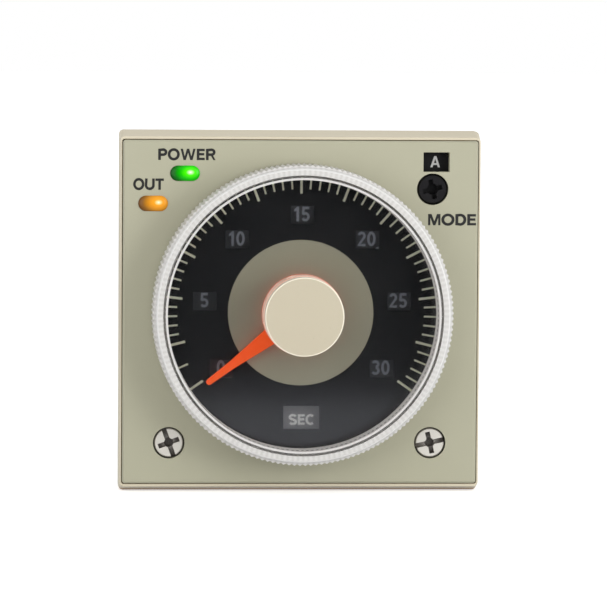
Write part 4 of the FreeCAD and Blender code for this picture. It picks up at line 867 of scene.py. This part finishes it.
numerals = {
    "0": (0.6, [thin(arc(0.3, 0.5, 0.215, 0.415, 0, 350, 36), closed=True)]),
    "1": (0.44, [outline([
        (0.19, 0), (0.19, 0.72), (0.02, 0.66), (0.02, 0.8), (0.24, 1), (0.37, 1), (0.37, 0),
    ])]),
    "2": (0.6, [thin(arc(0.3, 0.7, 0.2, 0.215, 165, -35, 17), (0.1, FOOT), (0.57, FOOT))]),
    "3": (0.6, [
        thin(arc(0.28, 0.735, 0.2, 0.18, 155, -85)), thin(arc(0.28, 0.29, 0.22, 0.205, 85, -155)),
    ]),
    "4": (0.64, [outline(
        [(0.37, 0), (0.37, 0.22), (0, 0.22), (0, 0.37), (0.35, 1), (0.54, 1), (0.54, 0.37), (0.64, 0.37),
         (0.64, 0.22), (0.54, 0.22), (0.54, 0)],
        [(0.37, 0.37), (0.17, 0.37), (0.37, 0.74)],
    )]),
    "5": (0.6, [
        thin((0.55, HEAD), (0.15, HEAD), (0.115, 0.46)), thin(arc(0.29, 0.315, 0.22, 0.23, 140, -152, 17)),
    ]),
    "6": (0.6, [
        thin(arc(0.3, 0.3, 0.215, 0.215, 0, 350, 30), closed=True),
        thin(arc(0.33, 0.42, 0.245, 0.495, 180, 55)),
    ]),
    "8": (0.6, [
        thin(arc(0.3, 0.735, 0.185, 0.18, 0, 350, 30), closed=True),
        thin(arc(0.3, 0.29, 0.215, 0.205, 0, 350, 30), closed=True),
    ]),
    ".": (0.19, [bar(0, 0.19, 0, 0.17)]),
}
print("letters:", "".join(letters), "numerals:", "".join(numerals))

# %% [markdown]
# ### Setting a word
#
# A word is its letters side by side, scaled to the printed width and height and turned in the plane of the
# front. Ink is not quite even, so its finish has a faint blotch.

# %% Setting words
INK_LIFT = 0.01
INK_BLOTCH = 0.35
INK_ROUGHNESS = 0.5
LETTER_GAP = 0.1


def printing_ink(name, colour, thin_colour, glow=0.0):
    """Pad-printing ink: satin, a little thinner in blotches about a third of a millimetre across.

    The glow is painted light: the ink gives off a little light of its own colour.
    """
    material, place = start_material(name)
    tone = blend(material, noise(material, place, INK_BLOTCH), colour, thin_colour)
    return surface(material, tone, INK_ROUGHNESS, glow=glow)


def set_word(word, alphabet):
    """Points and faces of a word: each letter is moved along by the widths and gaps before it."""
    points, faces, along, count = [], [], 0.0, 0
    for letter in word:
        wide, shapes = alphabet[letter]
        for shape_points, shape_faces in shapes:
            points.append(shape_points + [along, 0.0])
            faces += (shape_faces + count).tolist()
            count += len(shape_points)
        along += wide + LETTER_GAP
    return np.concatenate(points), faces, along - LETTER_GAP


def turned_by(degrees, along, rise):
    """A step on the front turned clockwise by t: (along cos t + rise sin t, rise cos t - along sin t)."""
    c, s = np.cos(np.radians(degrees)), np.sin(np.radians(degrees))
    return along * c + rise * s, rise * c - along * s


def printed_word(name, word, alphabet, place, size, carrier, ink, turn=0.0):
    """A word of a width and height about a place on the front, just before the body that carries it."""
    body, depth = carrier
    flat, faces, long = set_word(word, alphabet)
    wide, tall = size
    flat = (flat - [long / 2, 0.5]) * [wide / long, tall]
    along, rise = turned_by(turn, flat[:, 0], flat[:, 1])
    y = np.full(len(flat), FRONT_Y + depth - INK_LIFT)
    piece = mesh_piece(name, np.column_stack([place[0] + along, y, place[1] + rise]), faces, ink)
    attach(piece, body)


black_ink = printing_ink("black_ink_pad_printed", "#0e0e0d", "#1a1917")
grey_ink = printing_ink("grey_ink_pad_printed", "#b4b8c6", "#a9adbb")
pale_ink = printing_ink("pale_ink_pad_printed", "#dededf", "#d2d2d4")
# The white ink of the units glows with painted light, so that it stays bright deep in its window
white_ink_painted_glow = printing_ink("white_ink_pad_printed", "#ffffff", "#f6f6f6", glow=0.12)
print("inks ready")

# %% [markdown]
# ### Captions on the panel
#
# Three generic captions, a millimetre and a half tall, tell what the lamps and the selector are for.

# %% Captions
CAPTION_TALL = 1.5
captions = [
    ("caption_power", "POWER", (-15.16, 20.9), 7.6),
    ("caption_out", "OUT", (-20.2, 16.95), 4.0),
    ("caption_mode", "MODE", (20.12, 12.37), 6.4),
]
for name, word, place, wide in captions:
    printed_word(name, word, letters, place, (wide, CAPTION_TALL), ("case", 0.0), black_ink)
print("captions:", [row[1] for row in captions])

# %% [markdown]
# ### Tick marks of the scale
#
# The scale's marks are narrow slots in the black film, flooded with pale grey-green paint. The slots are in
# the solids; the paint that fills them is drawn here as one rectangle for each mark.

# %% Tick marks
SCALE_START, SCALE_END = -125.0, 125.0
DIVISIONS = 60
PER_MAJOR = 5
MAJOR_MARKS = 13
FIRST_MARK = 2.5
TICK_OUTER = 18.4
MINOR_INNER, MINOR_WIDE = 16.4, 0.25
MAJOR_INNER, MAJOR_WIDE = 15.8, 0.33
divisions = np.arange(PER_MAJOR, DIVISIONS)
minor_steps = np.r_[FIRST_MARK, divisions[divisions % PER_MAJOR != 0]]
minor_marks = SCALE_START + (SCALE_END - SCALE_START) / DIVISIONS * minor_steps
major_marks = np.linspace(SCALE_START, SCALE_END, MAJOR_MARKS)


def radial_bars(angles, inner, outer, wide):
    """One rectangle for each angle: an upright one above the middle of the scale, turned by the angle."""
    rise = np.array([inner, outer, outer, inner])
    along = np.array([wide, wide, -wide, -wide]) / 2
    x, z = turned_by(angles[:, None], along, rise)
    y = np.full_like(x, FRONT_Y - INK_LIFT)
    return np.stack([x, y, z], axis=-1).reshape(-1, 3)


tick_points = np.concatenate([
    radial_bars(minor_marks, MINOR_INNER, TICK_OUTER, MINOR_WIDE),
    radial_bars(major_marks, MAJOR_INNER, TICK_OUTER, MAJOR_WIDE),
])
tick_faces = np.arange(len(tick_points)).reshape(-1, 4).tolist()
tick_paint = printing_ink("grey_green_paint_flooded", "#eeefd8", "#e6e7ce")
ticks = mesh_piece("scale_ticks", tick_points, tick_faces, tick_paint)
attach(ticks, "case")
print("tick marks:", len(minor_marks), "minor and", len(major_marks), "major")

# %% [markdown]
# ### Numerals on the ring behind the scale
#
# Seven windows in the scale show the numerals of the chosen range. They are printed on a ring that the
# range selector turns through a pinion, 10.29 degrees for each step, so each window has its numerals for the
# other ranges printed beside the one that shows. Those are set smaller and at their own radius, so that at
# most a sliver of a neighbour shows. Each numeral stands upright when it comes to its window.

# %% Numerals
GEAR_RATIO = 14 / 68
RANGE_STEP = 50.0 * GEAR_RATIO
NUMERAL_SLIM = 0.95
NUMERAL_SHIFT = 0.2
RING_FRONT = 2.0
ranges = (
    ("0 5 10 15 20 25 30", 1.95, 13.0),
    ("0 1 2 3 4 5 6", 1.35, 13.3),
    ("0 .5 1 1.5 2 2.5 3", 1.35, 13.0),
    ("0 2 4 6 8 10 12", 1.35, 12.7),
)
window_angles = np.linspace(SCALE_START, SCALE_END, len(ranges[0][0].split()))
for step, (row, tall, radius) in enumerate(ranges):
    turn = -step * RANGE_STEP
    for window, numeral in zip(window_angles, row.split()):
        place = np.add(turned_by(window + turn, 0.0, radius), turned_by(turn, NUMERAL_SHIFT, 0.0))
        units = sum(numerals[digit][0] + LETTER_GAP for digit in numeral) - LETTER_GAP
        name = f"numeral_{step}_{numeral.replace('.', 'p')}"
        size = (units * NUMERAL_SLIM * tall, tall)
        printed_word(name, numeral, numerals, place, size, ("numeral_ring", RING_FRONT), grey_ink, turn)
print("ranges:", [row for row, tall, radius in ranges])

# %% [markdown]
# ### Units and modes
#
# The lower window shows the time unit, printed on a second ring that turns 20.59 degrees for each step of
# the unit selector. The mode selector carries its own lettered disc, whose letters come up under the small
# window above it.

# %% Units and mode letters
UNIT_RADIUS = 14.5
UNIT_WINDOW = 180.0
UNIT_SIZE = (3.45, 1.4)
UNIT_FRONT = 2.9
UNIT_STEP = 100.0 * GEAR_RATIO
UNIT_SLIDE = 1.7
unit_signs = {**letters, **numerals}
for step, unit in enumerate(["SEC", "MIN", "HRS", "10H"]):
    turn = step * UNIT_STEP
    place = turned_by(UNIT_WINDOW + turn - UNIT_SLIDE, 0.0, UNIT_RADIUS)
    carrier = ("unit_ring", UNIT_FRONT)
    printed_word(f"unit_{unit}", unit, unit_signs, place, UNIT_SIZE, carrier, white_ink_painted_glow, turn)
MODE_PLACE = (17.5, 16.4)
MODE_STEP = 60.0
LETTER_REACH = (0.5, 3.6)
MODE_SIZE = (1.3, 1.5)
for step, letter in enumerate("ABCDEF"):
    turn = -MODE_STEP * step
    place = np.add(MODE_PLACE, turned_by(turn, *LETTER_REACH))
    carrier = ("mode_selector", RING_FRONT)
    printed_word(f"mode_{letter}", letter, letters, place, MODE_SIZE, carrier, pale_ink, turn)
print("units and mode letters printed")

# %% [markdown]
# ## Floor, light and background
#
# The photo has a plain white ground and soft, even light. A sheet of white paper carries the soft shadow. It
# ends a hand's breadth in front of the part, so that only the lower half of the black scale mirrors it. The
# world is a white studio whose front, where the camera stands, is dark: that keeps the black scale black
# behind the polished dial. For the camera the ground is white all round.

# %% Paper floor
FLOOR_Z = -24.02
PAPER_FRONT = -205.0
PAPER_FAR = 3000.0
PAPER_LIFT = 0.6
PAPER_CLOUD = 120.0
PAPER_IN_MIRRORS = 0.75


def any_ray(material, *names):
    """One if the ray is of any of the named kinds, otherwise zero."""
    path = add_node(material, "LightPath")
    socket = path.outputs[names[0]]
    for name in names[1:]:
        socket = calculate(material, "MAXIMUM", socket, path.outputs[name])
    return socket


def studio_paper(name):
    """White paper: matt, with a faint cloudiness.

    Seen directly or through the dial it glows a little, so that the ground is white. In reflections it is
    an even pale sheet, so that the polished dial mirrors the ground without the part's own shadow.
    """
    material, place = start_material(name)
    tone = blend(material, noise(material, place, PAPER_CLOUD), "#f2f2f2", "#efefef")
    paper = add_node(material, "BsdfDiffuse", {"Color": tone})
    seen = any_ray(material, "Is Camera Ray", "Is Transmission Ray")
    lift = calculate(material, "MULTIPLY", seen, PAPER_LIFT)
    glow = add_node(material, "Emission", {"Color": "#ffffff", "Strength": lift})
    both = add_node(material, "AddShader", {0: paper.outputs["BSDF"], 1: glow.outputs["Emission"]})
    sheet = add_node(material, "Emission", {"Color": "#f4f6ff", "Strength": PAPER_IN_MIRRORS})
    kinds = {0: any_ray(material, "Is Glossy Ray"), 1: both.outputs["Shader"], 2: sheet.outputs["Emission"]}
    return close_material(material, add_node(material, "MixShader", kinds))


paper_points = np.array([
    (-PAPER_FAR, PAPER_FRONT, FLOOR_Z), (PAPER_FAR, PAPER_FRONT, FLOOR_Z),
    (PAPER_FAR, PAPER_FAR, FLOOR_Z), (-PAPER_FAR, PAPER_FAR, FLOOR_Z),
])
floor = mesh_piece("studio_floor", paper_points, [(0, 1, 2, 3)], studio_paper("white_studio_paper"))
print("paper from y", PAPER_FRONT, "to", PAPER_FAR)

# %% [markdown]
# ### Studio world and lamps
#
# The world's strength depends on the direction: y is -1 straight towards the camera's side and 1 behind the
# part. The part's own light is the studio strength, with the dark front and more from the camera's side than
# from behind; behind the part the backdrop is white in reflections and through the clear dial too. A weak
# lamp at the right gives the dial its soft shadow on the panel, and a weaker one at the left fills it. Most
# of the light comes from the world, because a lamp seen through clear acrylic leaves grain in the picture.

# %% World and lamps
STUDIO_LEVEL = 0.7
STUDIO_LEAN = (0.02, -0.38, -0.1)
FRONT_LEVEL = 0.02
FRONT_EDGE = (-0.978, -0.91)
BACKDROP_EDGE = 0.2
LAMPS = (
    ("right_softbox", (330.0, -420.0, 70.0), 260.0, 0.95),
    ("left_softbox", (-300.0, -430.0, 0.0), 420.0, 0.75),
)
world = bpy.data.worlds.new("soft_studio")
world.use_nodes = True
world.node_tree.nodes.clear()
heading = add_node(world, "TexCoord").outputs["Generated"]
forward = add_node(world, "SeparateXYZ", {0: heading}).outputs["Y"]
lean = add_node(world, "VectorMath", {0: heading, 1: STUDIO_LEAN}, operation="DOT_PRODUCT").outputs["Value"]
level = calculate(world, "MULTIPLY_ADD", lean, STUDIO_LEVEL, STUDIO_LEVEL)
studio = spread(world, forward, FRONT_LEVEL, level, *FRONT_EDGE, interpolation_type="SMOOTHSTEP")
backdrop = spread(world, forward, end=BACKDROP_EDGE)
mirrored = calculate(world, "MULTIPLY", any_ray(world, "Is Glossy Ray", "Is Transmission Ray"), backdrop)
white = calculate(world, "MAXIMUM", any_ray(world, "Is Camera Ray"), mirrored)
strength = spread(world, white, studio, 1.0)
ground = add_node(world, "Background", {"Color": "#ffffff", "Strength": strength})
add_node(world, "OutputWorld", {"Surface": ground.outputs["Background"]})
bpy.context.scene.world = world
for name, place, size, power in LAMPS:
    lamp_data = bpy.data.lights.new(name, "AREA")
    lamp_data.size = size * MM
    lamp_data.energy = power
    lamp = add_object(name, lamp_data)
    lamp.matrix_world = facing(np.array(place), np.array([0.0, FRONT_Y, 0.0]))
bpy.context.scene.view_settings.view_transform = "Standard"
print("world and lamps ready")
